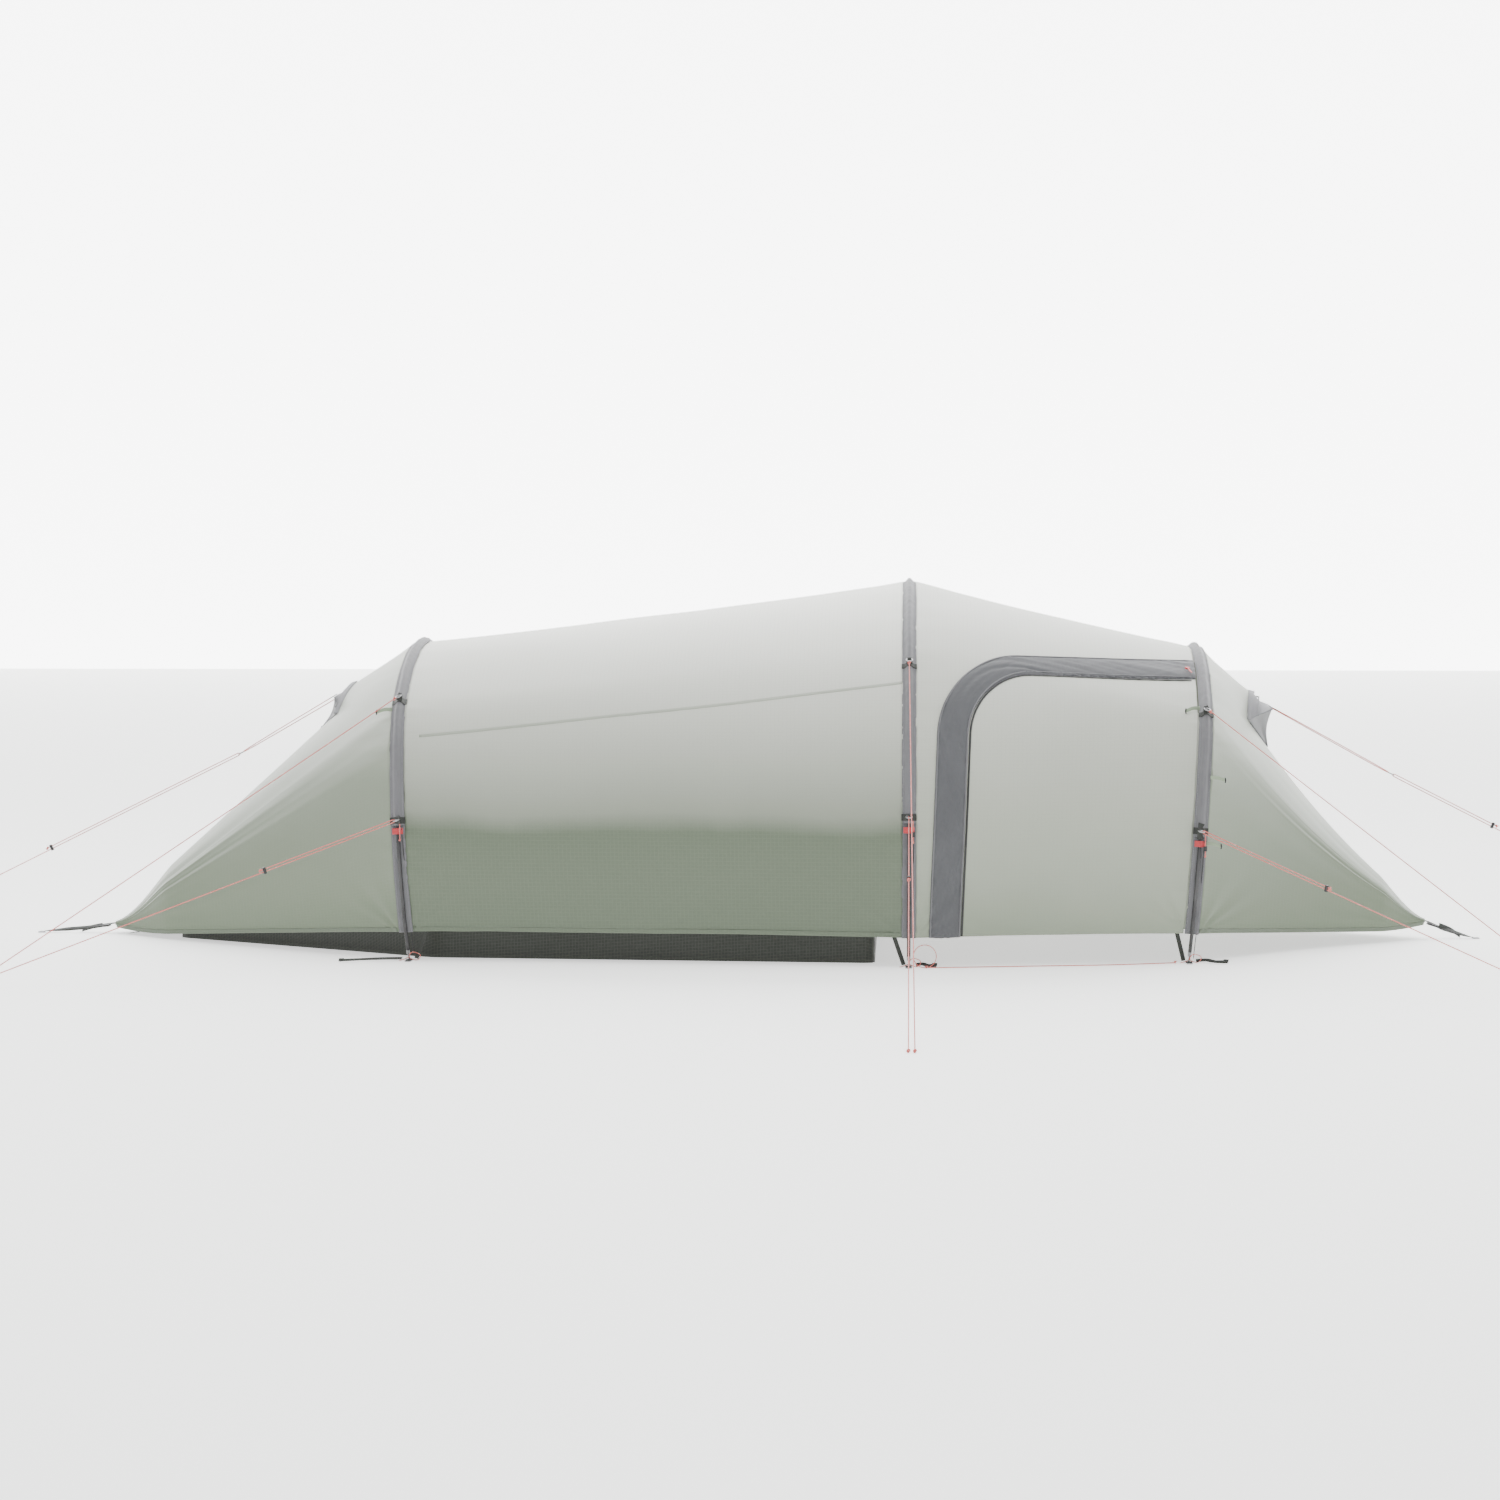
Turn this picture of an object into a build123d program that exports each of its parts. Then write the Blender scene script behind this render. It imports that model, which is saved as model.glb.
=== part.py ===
"""Three-pole tunnel tent: flysheet on three arched poles, pointed ends with hooded vents, a porch with two
side doors, an inner tent on a tub groundsheet, and the webbing, rings, runners and guy lines that hold it.

+X points to the porch end, +Y to the far side, +Z up.  Millimetres.
"""
import os
from math import asin, atan, cos, degrees, radians, sin, sqrt

from build123d import *

# ---------------------------------------------------------------- driving dimensions
# arches: x at the feet, lean of the plane, crest over the sleeve, half-widths at the bulge and the feet
REAR = {"x": -1008, "lean": -3.2, "crest": 960, "bulge": 860, "foot": 775, "bulge_z": 330}
MIDDLE = {"x": 500, "lean": 0.0, "crest": 1150, "bulge": 970, "foot": 890, "bulge_z": 350}
FRONT = {"x": 1341, "lean": 4.1, "crest": 948, "bulge": 810, "foot": 740, "bulge_z": 330}
CREST_ANGLE = 30      # half-angle of the crest arc
SHOULDER_ANGLE = 65   # where the shoulder arc ends, from the vertical

POLE_R = 5.5
POLE_BORE = 4.5
FERRULE_R = 4.4
FERRULE_BORE = 3.4
FERRULE_LENGTH = 80
SHOCK_CORD_R = 1.5
SLEEVE_WIDTH = 42
SLEEVE_HEIGHT = 17
SLEEVE_WALL = 2
ARCH_GAP = 22         # fabric panels stop this far each side of an arch plane
FABRIC_INSET = 7      # outer face of the panels inside the pole line
FABRIC = 2.5          # thickness of a fabric panel
HEM_Z = 90

# sections of the pointed ends beyond each arch: x at the feet, scale of the arch's profile, lift
NOSE_STATIONS = {
    "rear": [{"x": -2060, "scale": 0.06, "lift": 0}],
    "front": [{"x": 1604, "scale": 0.635, "lift": 10}, {"x": 2140, "scale": 0.06, "lift": 30}],
}
TENT_END_X = 2320     # outermost point of each end ring

BAND_LENGTH = 20      # webbing bands over the sleeves
BAND_Z = {"rear": (776, 417), "middle": (893, 437), "front": (745, 387)}
SEAM_Z = (675, 843)   # roof seam at the rear arch and at the middle arch

DOOR_BACK_X = 566     # rear edge of a side door at the hem
DOOR_TOP_Z = (925, 889)   # top edge at its rear end and at the front arch
DOOR_GAP = 3
FLAP_SIDE = 86        # width of the zip flap at the side and over the top
FLAP_TOP = 48

TUB_HEIGHT = 95
TUB_WALL = 2.5
INNER_CLEARANCE = 55
INNER_FRONT_X = 400
INNER_REAR_X = -950
INNER_FOOT_X = -1830
INNER_DOOR_WIDTH = 800
INNER_DOOR_HEIGHT = 720

CORD_R = 1.5
RING_R = 9            # guy rings: centre line and wire
RING_WIRE_R = 2
CORD_TURN_R = 4       # bend of a guy line round a ring
RUNNER_SIZE = (9, 20, 9)

# where the near guy lines and the vent lines reach the ground
PEGS = {"rear": (-2178, -1555), "middle": (500, -2780), "front": (2334, -1870)}
RUNNER_AT = {"rear": 0.31, "middle": 0.30, "front": 0.34}
VENT_LINES = {
    "rear": {"ring": (-1653, 0, 584), "peg": (-2816, 0), "runner_at": 0.53},
    "front": {"ring": (2034, 0, 526), "peg": (3056, 0), "runner_at": 0.31},
}


# ---------------------------------------------------------------- the arch profile
class Arch:
    """One arch: a crest arc, two shoulder arcs and two side arcs, all tangent, in a plane across the tent."""

    def __init__(self, x, lean, crest, bulge, foot, bulge_z, lift=0):
        self.x, self.lean, self.lift = x, lean, lift
        self.crest, self.bulge, self.foot, self.bulge_z = crest, bulge, foot, bulge_z
        inward = 2 * atan((bulge - foot) / bulge_z)
        side_r = bulge_z / sin(inward)
        crest_a, shoulder_a = radians(CREST_ANGLE), radians(SHOULDER_ANGLE)
        across = bulge - side_r * (1 - sin(shoulder_a))
        down = crest - bulge_z - side_r * cos(shoulder_a)
        a, b = sin(crest_a), sin(shoulder_a) - sin(crest_a)
        c, d = 1 - cos(crest_a), cos(crest_a) - cos(shoulder_a)
        crest_r = (across * d - b * down) / (a * d - b * c)
        shoulder_r = (a * down - c * across) / (a * d - b * c)
        self.foot_angle = 90 + degrees(inward)
        crest_c = (0, crest - crest_r)
        shoulder_c = ((crest_r - shoulder_r) * a, crest_c[1] + (crest_r - shoulder_r) * cos(crest_a))
        side_c = (bulge - side_r, bulge_z)
        self.arcs = [
            ((-side_c[0], side_c[1]), side_r, -self.foot_angle, -SHOULDER_ANGLE),
            ((-shoulder_c[0], shoulder_c[1]), shoulder_r, -SHOULDER_ANGLE, -CREST_ANGLE),
            (crest_c, crest_r, -CREST_ANGLE, CREST_ANGLE),
            (shoulder_c, shoulder_r, CREST_ANGLE, SHOULDER_ANGLE),
            (side_c, side_r, SHOULDER_ANGLE, self.foot_angle),
        ]

    def plane(self, shift=0):
        """The arch plane, moved along the tent by shift; its x is +Y and its y runs up the arch."""
        tilt = radians(self.lean)
        normal = Vector(cos(tilt), 0, -sin(tilt))
        origin = Vector(self.x, 0, self.lift) + normal * shift
        return Plane(origin=origin, x_dir=(0, 1, 0), z_dir=normal)

    def arc_at(self, angle):
        for centre, radius, low, high in self.arcs:
            if low <= angle <= high:
                return centre, radius
        raise ValueError("angle beyond the feet")

    def flat_point(self, angle, outward=0):
        """A point in the arch plane at an angle off the crest, moved outward from the pole line."""
        (cx, cy), radius = self.arc_at(angle)
        r = radius + outward
        return cx + r * sin(radians(angle)), cy + r * cos(radians(angle))

    def point(self, angle, outward=0, shift=0):
        return self.plane(shift).from_local_coords(Vector(*self.flat_point(angle, outward), 0))

    def angle_at_height(self, z, outward=0):
        """The far-side angle at which the arch, moved outward, is at height z above the feet."""
        for (_, cy), radius, low, high in reversed(self.arcs[2:]):
            reach = (z - cy) / (radius + outward)
            if -1 <= reach <= 1:
                angle = 90 - degrees(asin(reach))
                if low - 1e-9 <= angle <= high + 1e-9:
                    return angle
        return 0.0

    def scaled(self, x, scale, lift=0):
        """The same profile, smaller, further along the tent."""
        sizes = [value * scale for value in (self.crest, self.bulge, self.foot, self.bulge_z)]
        return Arch(x, self.lean, *sizes, lift=lift)

def pole_line(spec):
    """The arch of the pole's centre line, half a sleeve inside the outer sizes."""
    half = SLEEVE_HEIGHT / 2
    return Arch(spec["x"], spec["lean"], spec["crest"] - half, spec["bulge"] - half,
                spec["foot"] - half, spec["bulge_z"])


ARCHES = {"rear": pole_line(REAR), "middle": pole_line(MIDDLE), "front": pole_line(FRONT)}
NAMES = ("rear", "middle", "front")
SIDES = (-1, 1)       # near side, far side


def arch_arcs(arch, outward, start, end):
    """Draws the arch from one angle to the other, moved outward from the pole line."""
    for centre, radius, low, high in arch.arcs:
        a, b = max(low, start), min(high, end)
        if b - a > 1e-6:
            CenterArc(centre, radius + outward, 90 - a, a - b)


def panel_section(arch, shift, outward, thickness, hem):
    """A fabric panel's cross-section: a band along the arch that stops at the hem on both sides."""
    stop = arch.angle_at_height(hem, outward)
    inner = outward - thickness
    with BuildSketch(arch.plane(shift)) as section:
        with BuildLine():
            arch_arcs(arch, outward, -stop, stop)
            arch_arcs(arch, inner, -stop, stop)
            for angle in (-stop, stop):
                Line(arch.flat_point(angle, outward), arch.flat_point(angle, inner))
        make_face()
    return section.sketch


def panel(arch_a, shift_a, arch_b, shift_b, outward=-FABRIC_INSET, thickness=FABRIC, hems=(HEM_Z, HEM_Z)):
    """Lofts straight fabric from one arch to the next."""
    loft([
        panel_section(arch_a, shift_a, outward, thickness, hems[0]),
        panel_section(arch_b, shift_b, outward, thickness, hems[1]),
    ], ruled=True)


def bar(start, end, width_dir, width, thickness):
    """A straight strip of webbing between two points."""
    start, end = Vector(*start), Vector(*end)
    with BuildSketch(Plane(origin=start, x_dir=Vector(*width_dir), z_dir=end - start)) as section:
        Rectangle(width, thickness)
    extrude(section.sketch, amount=(end - start).length)


def ring(centre, normal, radius, wire):
    """A round wire ring."""
    plane = Plane(origin=centre, z_dir=normal)
    with Locations(plane.location):
        Torus(radius, wire)


def save(builder, label):
    builder.part.label = label
    export_step(builder.part, f"parts/{label}.step")


os.makedirs("parts", exist_ok=True)


# ---------------------------------------------------------------- poles
POLE_END_Z = 34
POLE_BREAKS = (-66, -22, 22, 66)
JOINT_GAP_ANGLE = 0.02


def sweep_round(arch, start, end, radius, bore=0):
    with BuildLine(arch.plane()) as path:
        arch_arcs(arch, 0, start, end)
    with BuildSketch(Plane(origin=path.line @ 0, z_dir=path.line % 0)) as section:
        Circle(radius)
        if bore:
            Circle(bore, mode=Mode.SUBTRACT)
    sweep(section.sketch, path=path.line)


for name in NAMES:
    arch = ARCHES[name]
    stop = arch.angle_at_height(POLE_END_Z)
    edges = (-stop, *POLE_BREAKS, stop)
    with BuildPart() as pole:
        for low, high in zip(edges[:-1], edges[1:]):
            sweep_round(arch, low + JOINT_GAP_ANGLE, high - JOINT_GAP_ANGLE, POLE_R, POLE_BORE)
    save(pole, f"{name}_pole")

with BuildPart() as pole_ferrules:
    for arch in ARCHES.values():
        for angle in POLE_BREAKS:
            half = degrees(FERRULE_LENGTH / 2 / arch.arc_at(angle)[1])
            sweep_round(arch, angle - half, angle + half, FERRULE_R, FERRULE_BORE)
save(pole_ferrules, "pole_ferrules")

with BuildPart() as pole_shock_cords:
    for arch in ARCHES.values():
        stop = arch.angle_at_height(POLE_END_Z + 1)
        sweep_round(arch, -stop, stop, SHOCK_CORD_R)
save(pole_shock_cords, "pole_shock_cords")

TIP_BODY = 14
TIP_PIN_R = 2.5
EYELET_BORE = 4.7
EYELET_R = 5.7
EYELET_FLANGE_R = 8
PIN_END_Z = 1.5

with BuildPart() as pole_tips:
    for arch in ARCHES.values():
        stop = arch.angle_at_height(POLE_END_Z)
        for side in SIDES:
            start = arch.point(side * stop)
            down = (arch.point(side * (stop + 0.5)) - arch.point(side * (stop - 0.0))).normalized()
            start += down * 0.3
            pin_length = (start.Z - PIN_END_Z) / -down.Z - TIP_BODY
            with BuildSketch(Plane(origin=start, z_dir=down)):
                Circle(POLE_R)
            extrude(amount=TIP_BODY)
            with BuildSketch(Plane(origin=start + down * TIP_BODY, z_dir=down)):
                Circle(TIP_PIN_R)
            extrude(amount=pin_length)
save(pole_tips, "pole_tips")


def foot_point(arch, side):
    """Where the pole's pin meets the ground."""
    stop = arch.angle_at_height(POLE_END_Z)
    start = arch.point(side * stop)
    down = (arch.point(side * (stop + 0.5)) - start).normalized()
    return start + down * (start.Z / -down.Z)


# ---------------------------------------------------------------- sleeves
for name in NAMES:
    arch = ARCHES[name]
    stop = arch.angle_at_height(BAND_Z[name][1])
    with BuildPart() as sleeve:
        with BuildLine(arch.plane()) as path:
            arch_arcs(arch, 0, -stop, stop)
        with BuildSketch(Plane(origin=path.line @ 0, x_dir=arch.plane().z_dir, z_dir=path.line % 0)):
            Ellipse(SLEEVE_WIDTH / 2, SLEEVE_HEIGHT / 2)
            Ellipse(SLEEVE_WIDTH / 2 - SLEEVE_WALL, SLEEVE_HEIGHT / 2 - SLEEVE_WALL, mode=Mode.SUBTRACT)
        sweep(path=path.line)
    save(sleeve, f"{name}_sleeve")

STRIP_GAP_ANGLE = 0.3
STRIP_THICKNESS = 2

with BuildPart() as sleeve_strips:
    for name in NAMES:
        arch = ARCHES[name]
        top = arch.angle_at_height(BAND_Z[name][1]) + STRIP_GAP_ANGLE
        hem = arch.angle_at_height(HEM_Z)
        for side in SIDES:
            low, high = sorted((side * top, side * hem))
            with BuildSketch(arch.plane(-SLEEVE_WIDTH / 2)):
                with BuildLine():
                    arch_arcs(arch, -FABRIC_INSET, low, high)
                    arch_arcs(arch, -FABRIC_INSET - STRIP_THICKNESS, low, high)
                    for angle in (low, high):
                        Line(arch.flat_point(angle, -FABRIC_INSET),
                             arch.flat_point(angle, -FABRIC_INSET - STRIP_THICKNESS))
                make_face()
            extrude(amount=SLEEVE_WIDTH)
save(sleeve_strips, "sleeve_strips")


# ---------------------------------------------------------------- flysheet: rear section
def seam_plane(offset):
    """The plane of the roof seam, which climbs from the rear arch to the middle arch."""
    rise = Vector(MIDDLE["x"] - REAR["x"], 0, SEAM_Z[1] - SEAM_Z[0]).normalized()
    normal = Vector(-rise.Z, 0, rise.X)
    return Plane(origin=Vector(REAR["x"], 0, SEAM_Z[0]) + normal * offset, x_dir=rise, z_dir=normal)


with BuildPart() as rear_roof_panel:
    panel(ARCHES["rear"], ARCH_GAP, ARCHES["middle"], -ARCH_GAP)
    split(bisect_by=seam_plane(0.2), keep=Keep.TOP)
save(rear_roof_panel, "rear_roof_panel")

with BuildPart() as rear_side_panels:
    panel(ARCHES["rear"], ARCH_GAP, ARCHES["middle"], -ARCH_GAP)
    split(bisect_by=seam_plane(-0.2), keep=Keep.BOTTOM)
save(rear_side_panels, "rear_side_panels")


# ---------------------------------------------------------------- flysheet: porch and its doors
DOOR_CORNER_R = 230
DOOR_FRONT_X = 1420
DOOR_LOW_Z = 60
DOOR_LEAN_X = 34


def door_outline(inset_side, inset_top):
    """The door's outline seen from the side: upright rear edge, round corner, straight top to the arch."""
    back = DOOR_BACK_X + inset_side
    lean_x = back + DOOR_LEAN_X
    rear_top, front_top = (z - inset_top for z in DOOR_TOP_Z)
    Polyline((lean_x, rear_top), (back, DOOR_LOW_Z), (DOOR_FRONT_X, DOOR_LOW_Z), (DOOR_FRONT_X, front_top),
             close=True)


def door_cut(inset_side, inset_top, mode, far):
    with BuildSketch(Plane.XZ) as outline:
        with BuildLine():
            door_outline(inset_side, inset_top)
        make_face()
        corner = outline.vertices().group_by(Axis.X)[1].sort_by(Axis.Y)[-1]
        fillet(corner, DOOR_CORNER_R - inset_top)
    extrude(outline.sketch, amount=-1200 if far else 1200, mode=mode)


with BuildPart() as porch_canopy:
    panel(ARCHES["middle"], ARCH_GAP, ARCHES["front"], -ARCH_GAP)
    door_cut(0, 0, Mode.SUBTRACT, far=False)
    door_cut(0, 0, Mode.SUBTRACT, far=True)
save(porch_canopy, "porch_canopy")

with BuildPart() as side_door_near:
    panel(ARCHES["middle"], ARCH_GAP, ARCHES["front"], -ARCH_GAP - DOOR_GAP)
    door_cut(DOOR_GAP, DOOR_GAP, Mode.INTERSECT, far=False)
save(side_door_near, "side_door_near")

with BuildPart() as side_door_far:
    mirror(side_door_near.part, about=Plane.XZ)
save(side_door_far, "side_door_far")

FLAP_LIFT = 1.5       # gap between the door and the flap over its zip
FLAP_OUTWARD = -FABRIC_INSET + FLAP_LIFT + FABRIC

with BuildPart() as zip_flap_near:
    panel(ARCHES["middle"], ARCH_GAP, ARCHES["front"], -ARCH_GAP - DOOR_GAP,
          outward=FLAP_OUTWARD)
    door_cut(DOOR_GAP, DOOR_GAP, Mode.INTERSECT, far=False)
    door_cut(FLAP_SIDE, FLAP_TOP, Mode.SUBTRACT, far=False)
save(zip_flap_near, "zip_flap_near")

with BuildPart() as zip_flap_far:
    mirror(zip_flap_near.part, about=Plane.XZ)
save(zip_flap_far, "zip_flap_far")


def ruling_angle(size, stop):
    """The angle on an arch for a place from 0 at the crest to 3 at the hem, one step for each arc."""
    knots = (0, CREST_ANGLE, SHOULDER_ANGLE, stop)
    step = min(int(size), 2)
    return knots[step] + (knots[step + 1] - knots[step]) * (size - step)


def skin_point(x, z, outward):
    """The far side of the porch skin at one place along the tent and one height, on its straight rulings."""
    ends = ((ARCHES["middle"], ARCH_GAP), (ARCHES["front"], -ARCH_GAP))
    stops = [arch.angle_at_height(HEM_Z, outward) for arch, _ in ends]
    low, high = 0, 3
    for _ in range(40):
        size = (low + high) / 2
        a, b = (arch.point(ruling_angle(size, stop), outward, shift) for (arch, shift), stop in zip(ends, stops))
        point = a + (b - a) * ((x - a.X) / (b.X - a.X))
        if point.Z > z:
            low = size
        else:
            high = size
    return point


SLIDER_X = 1352
SLIDER_END_X = 900
SLIDER_LIFT = 8.5     # above the flap, so that the slider clears its bulge along the straight run
SLIDER_SIZE = (14, 9, 5)
PULL_LENGTH = 30


def zip_point(x, down=0):
    """The middle of the zip flap's top run, on the far side."""
    rear_x = DOOR_BACK_X + DOOR_LEAN_X
    share = (x - rear_x) / (DOOR_FRONT_X - rear_x)
    z = DOOR_TOP_Z[0] + (DOOR_TOP_Z[1] - DOOR_TOP_Z[0]) * share - FLAP_TOP / 2
    return skin_point(x, z - down, FLAP_OUTWARD)


SLIDER_RUN = (zip_point(SLIDER_END_X) - zip_point(SLIDER_X)).normalized()
SLIDER_NORMAL = (zip_point(SLIDER_X, 8) - zip_point(SLIDER_X)).cross(SLIDER_RUN).normalized()
print("zip sliders run along", round(SLIDER_RUN.X, 5), "outward", round(SLIDER_RUN.Y, 5), "up",
      round(SLIDER_RUN.Z, 5), "on a face with normal", SLIDER_NORMAL)

for name, side in (("near", -1), ("far", 1)):
    spot = zip_point(SLIDER_X) + SLIDER_NORMAL * SLIDER_LIFT
    plane = Plane(origin=spot, x_dir=SLIDER_RUN, z_dir=SLIDER_NORMAL)
    down = -1 if plane.y_dir.Z > 0 else 1
    pull_y = down * (SLIDER_SIZE[1] / 2 + PULL_LENGTH / 2 - 1)
    with BuildPart() as zip_slider:
        with Locations(plane.location):
            Box(*SLIDER_SIZE)
            fillet(zip_slider.edges().filter_by(Axis(origin=spot, direction=SLIDER_NORMAL)), 2)
        with Locations(plane.location):
            with Locations((0, pull_y, 0.8)):
                Box(5, PULL_LENGTH, 2)
        if side < 0:
            mirror(about=Plane.XZ, mode=Mode.REPLACE)
    save(zip_slider, f"zip_slider_{name}")


# ---------------------------------------------------------------- flysheet: pointed ends, vents and hoods
OUTWARD = {"rear": -1, "front": 1}
HOOD = {
    "rear": {"top": (-1280, 810), "lip": (-1327, 776)},
    "front": {"top": (1588, 784), "lip": (1640, 746)},
}
HOOD_LIFT = {"rear": 8, "front": 1.5}
HOOD_HALF_WIDTH = 165
VENT_X = {"rear": -1390, "front": 1646}     # outer edge of each mesh vent
VENT_HALF_WIDTH = 95
VENT_LENGTH = 90


def nose_stations(end):
    """The arch and the sections beyond it, as x at the feet, scale and lift."""
    return [{"x": ARCHES[end].x, "scale": 1, "lift": 0}, *NOSE_STATIONS[end]]


def nose_section(end, x):
    """The pointed end's profile at one place, between its stations."""
    stations = nose_stations(end)
    for before, after in zip(stations[:-1], stations[1:]):
        share = (x - before["x"]) / (after["x"] - before["x"])
        if share <= 1 or after is stations[-1]:
            scale = before["scale"] + (after["scale"] - before["scale"]) * share
            lift = before["lift"] + (after["lift"] - before["lift"]) * share
            return ARCHES[end].scaled(x, scale, lift)


def nose_panel(end, outward=-FABRIC_INSET, thickness=FABRIC):
    """The skin of a pointed end, station by station."""
    stations = nose_stations(end)
    for before, after in zip(stations[:-1], stations[1:]):
        panel(nose_section(end, before["x"]), OUTWARD[end] * ARCH_GAP if before is stations[0] else 0,
              nose_section(end, after["x"]), 0, outward=outward, thickness=thickness,
              hems=(HEM_Z * before["scale"], HEM_Z * after["scale"]))


def hood_section(end, spot):
    """A section like the nose's at that place, raised so that its crest is at the given height."""
    section = nose_section(end, spot[0])
    tilt = radians(section.lean)
    foot_x = spot[0] - section.crest * sin(tilt)
    return Arch(foot_x, section.lean, section.crest, section.bulge, section.foot, section.bulge_z,
                lift=spot[1] - section.crest * cos(tilt))


def vent_window(end, grow, mode):
    low_x, high_x = VENT_X[end], VENT_X[end] - OUTWARD[end] * VENT_LENGTH
    with Locations(((low_x + high_x) / 2, 0, 650)):
        Box(VENT_LENGTH + 2 * grow, 2 * (VENT_HALF_WIDTH + grow), 400, mode=mode)


for end in ("rear", "front"):
    arch = ARCHES[end]
    out = OUTWARD[end]
    with BuildPart() as nose:
        nose_panel(end)
        vent_window(end, 0, Mode.SUBTRACT)
    save(nose, f"{end}_nose")

    with BuildPart() as hood:
        rim, lip = hood_section(end, HOOD[end]["top"]), hood_section(end, HOOD[end]["lip"])
        lifted = -FABRIC_INSET + FABRIC + HOOD_LIFT[end]
        panel(arch, out * ARCH_GAP, rim, 0, outward=lifted)
        panel(rim, 0, lip, 0, outward=lifted)
        with Locations((HOOD[end]["top"][0] - out * 60, 0, 800)):
            Box(460, 2 * HOOD_HALF_WIDTH, 600, mode=Mode.INTERSECT)
    save(hood, f"{end}_vent_hood")

with BuildPart() as vent_meshes:
    for end in ("rear", "front"):
        with BuildPart(mode=Mode.PRIVATE) as mesh:
            nose_panel(end, -FABRIC_INSET - 0.5, 1.5)
            vent_window(end, -1, Mode.INTERSECT)
        add(mesh.part)
save(vent_meshes, "vent_meshes")


# ---------------------------------------------------------------- inner tent
TUB_OUTLINE = ((INNER_FRONT_X, 790), (INNER_REAR_X, 690), (INNER_FOOT_X, 140))

with BuildPart() as groundsheet:
    with BuildSketch():
        with BuildLine():
            right = [(x, y) for x, y in TUB_OUTLINE]
            left = [(x, -y) for x, y in reversed(TUB_OUTLINE)]
            Polyline(*right, *left, close=True)
        make_face()
    extrude(amount=TUB_HEIGHT)
    offset(amount=-TUB_WALL, openings=groundsheet.faces().sort_by(Axis.Z)[-1])
save(groundsheet, "groundsheet")

INNER_LIFT = 0.5
INNER_LOW_Z = TUB_HEIGHT + INNER_LIFT


def rear_section(x):
    """The flysheet's profile at a place between the rear and the middle arch."""
    rear, middle = ARCHES["rear"], ARCHES["middle"]
    share = (x - rear.x) / (middle.x - rear.x)
    sizes = [getattr(rear, size) + (getattr(middle, size) - getattr(rear, size)) * share
             for size in ("crest", "bulge", "foot", "bulge_z")]
    return Arch(x, 0, *sizes)


INNER_SECTIONS = [rear_section(INNER_FRONT_X), rear_section(INNER_REAR_X), nose_section("rear", INNER_FOOT_X)]
INNER_OUTWARD = -FABRIC_INSET - FABRIC - INNER_CLEARANCE

with BuildPart() as inner_tent:
    for section_a, section_b in zip(INNER_SECTIONS[:-1], INNER_SECTIONS[1:]):
        panel(section_a, 0, section_b, 0, outward=INNER_OUTWARD, hems=(INNER_LOW_Z, INNER_LOW_Z))
save(inner_tent, "inner_tent")

INNER_WALL_GAP = 0.5
INNER_DOOR_LOW_Z = TUB_HEIGHT + 40
INNER_DOOR_CORNER_R = 240
INNER_DOOR_GAP = 3


def wall_face(outward):
    """The inner tent's front profile, closed along the top of the tub."""
    arch = INNER_SECTIONS[0]
    stop = arch.angle_at_height(INNER_LOW_Z, outward)
    with BuildSketch(arch.plane(INNER_WALL_GAP)) as face:
        with BuildLine():
            arch_arcs(arch, outward, -stop, stop)
            Line(arch.flat_point(-stop, outward), arch.flat_point(stop, outward))
        make_face()
    return face.sketch


def inner_door_face(gap):
    """The inner door, a rounded upright panel."""
    width, height = INNER_DOOR_WIDTH - 2 * gap, INNER_DOOR_HEIGHT - 2 * gap
    middle = (0, INNER_DOOR_LOW_Z + INNER_DOOR_HEIGHT / 2)
    with BuildSketch(INNER_SECTIONS[0].plane(INNER_WALL_GAP)) as face:
        with Locations(middle):
            RectangleRounded(width, height, INNER_DOOR_CORNER_R - gap)
    return face.sketch


with BuildPart() as inner_wall:
    extrude(wall_face(INNER_OUTWARD), amount=FABRIC)
    extrude(inner_door_face(0), amount=FABRIC, mode=Mode.SUBTRACT)
save(inner_wall, "inner_wall")

with BuildPart() as inner_door:
    extrude(inner_door_face(INNER_DOOR_GAP), amount=FABRIC)
save(inner_door, "inner_door")


# ---------------------------------------------------------------- webbing bands, red tabs and guy rings
BAND_WIDTH = 44
BAND_THICKNESS = 1.5
BAND_LIFT = SLEEVE_HEIGHT / 2 + 0.3
TAB_DROP_ANGLE = 1.7


def band_angle(name, level):
    return ARCHES[name].angle_at_height(BAND_Z[name][level])


def band(arch, side, angle, length, width, lift, thickness=BAND_THICKNESS):
    """A strip of webbing laid across a sleeve, following the arch for its length."""
    half = degrees(length / 2 / arch.arc_at(angle)[1])
    low, high = sorted((side * (angle - half), side * (angle + half)))
    with BuildSketch(arch.plane(-width / 2)) as section:
        with BuildLine():
            for outward in (lift, lift + thickness):
                arch_arcs(arch, outward, low, high)
            for edge in (low, high):
                Line(arch.flat_point(edge, lift), arch.flat_point(edge, lift + thickness))
        make_face()
    extrude(section.sketch, amount=width)


for level, label in ((0, "upper_bands"), (1, "lower_bands")):
    with BuildPart() as bands:
        for name in NAMES:
            for side in SIDES:
                band(ARCHES[name], side, band_angle(name, level) - 1.0 * level, BAND_LENGTH, BAND_WIDTH,
                     BAND_LIFT)
    save(bands, label)

with BuildPart() as sleeve_tabs:
    for name in NAMES:
        for side in SIDES:
            band(ARCHES[name], side, band_angle(name, 1) + TAB_DROP_ANGLE, 16, 36, POLE_R + 1)
save(sleeve_tabs, "sleeve_tabs")


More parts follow.
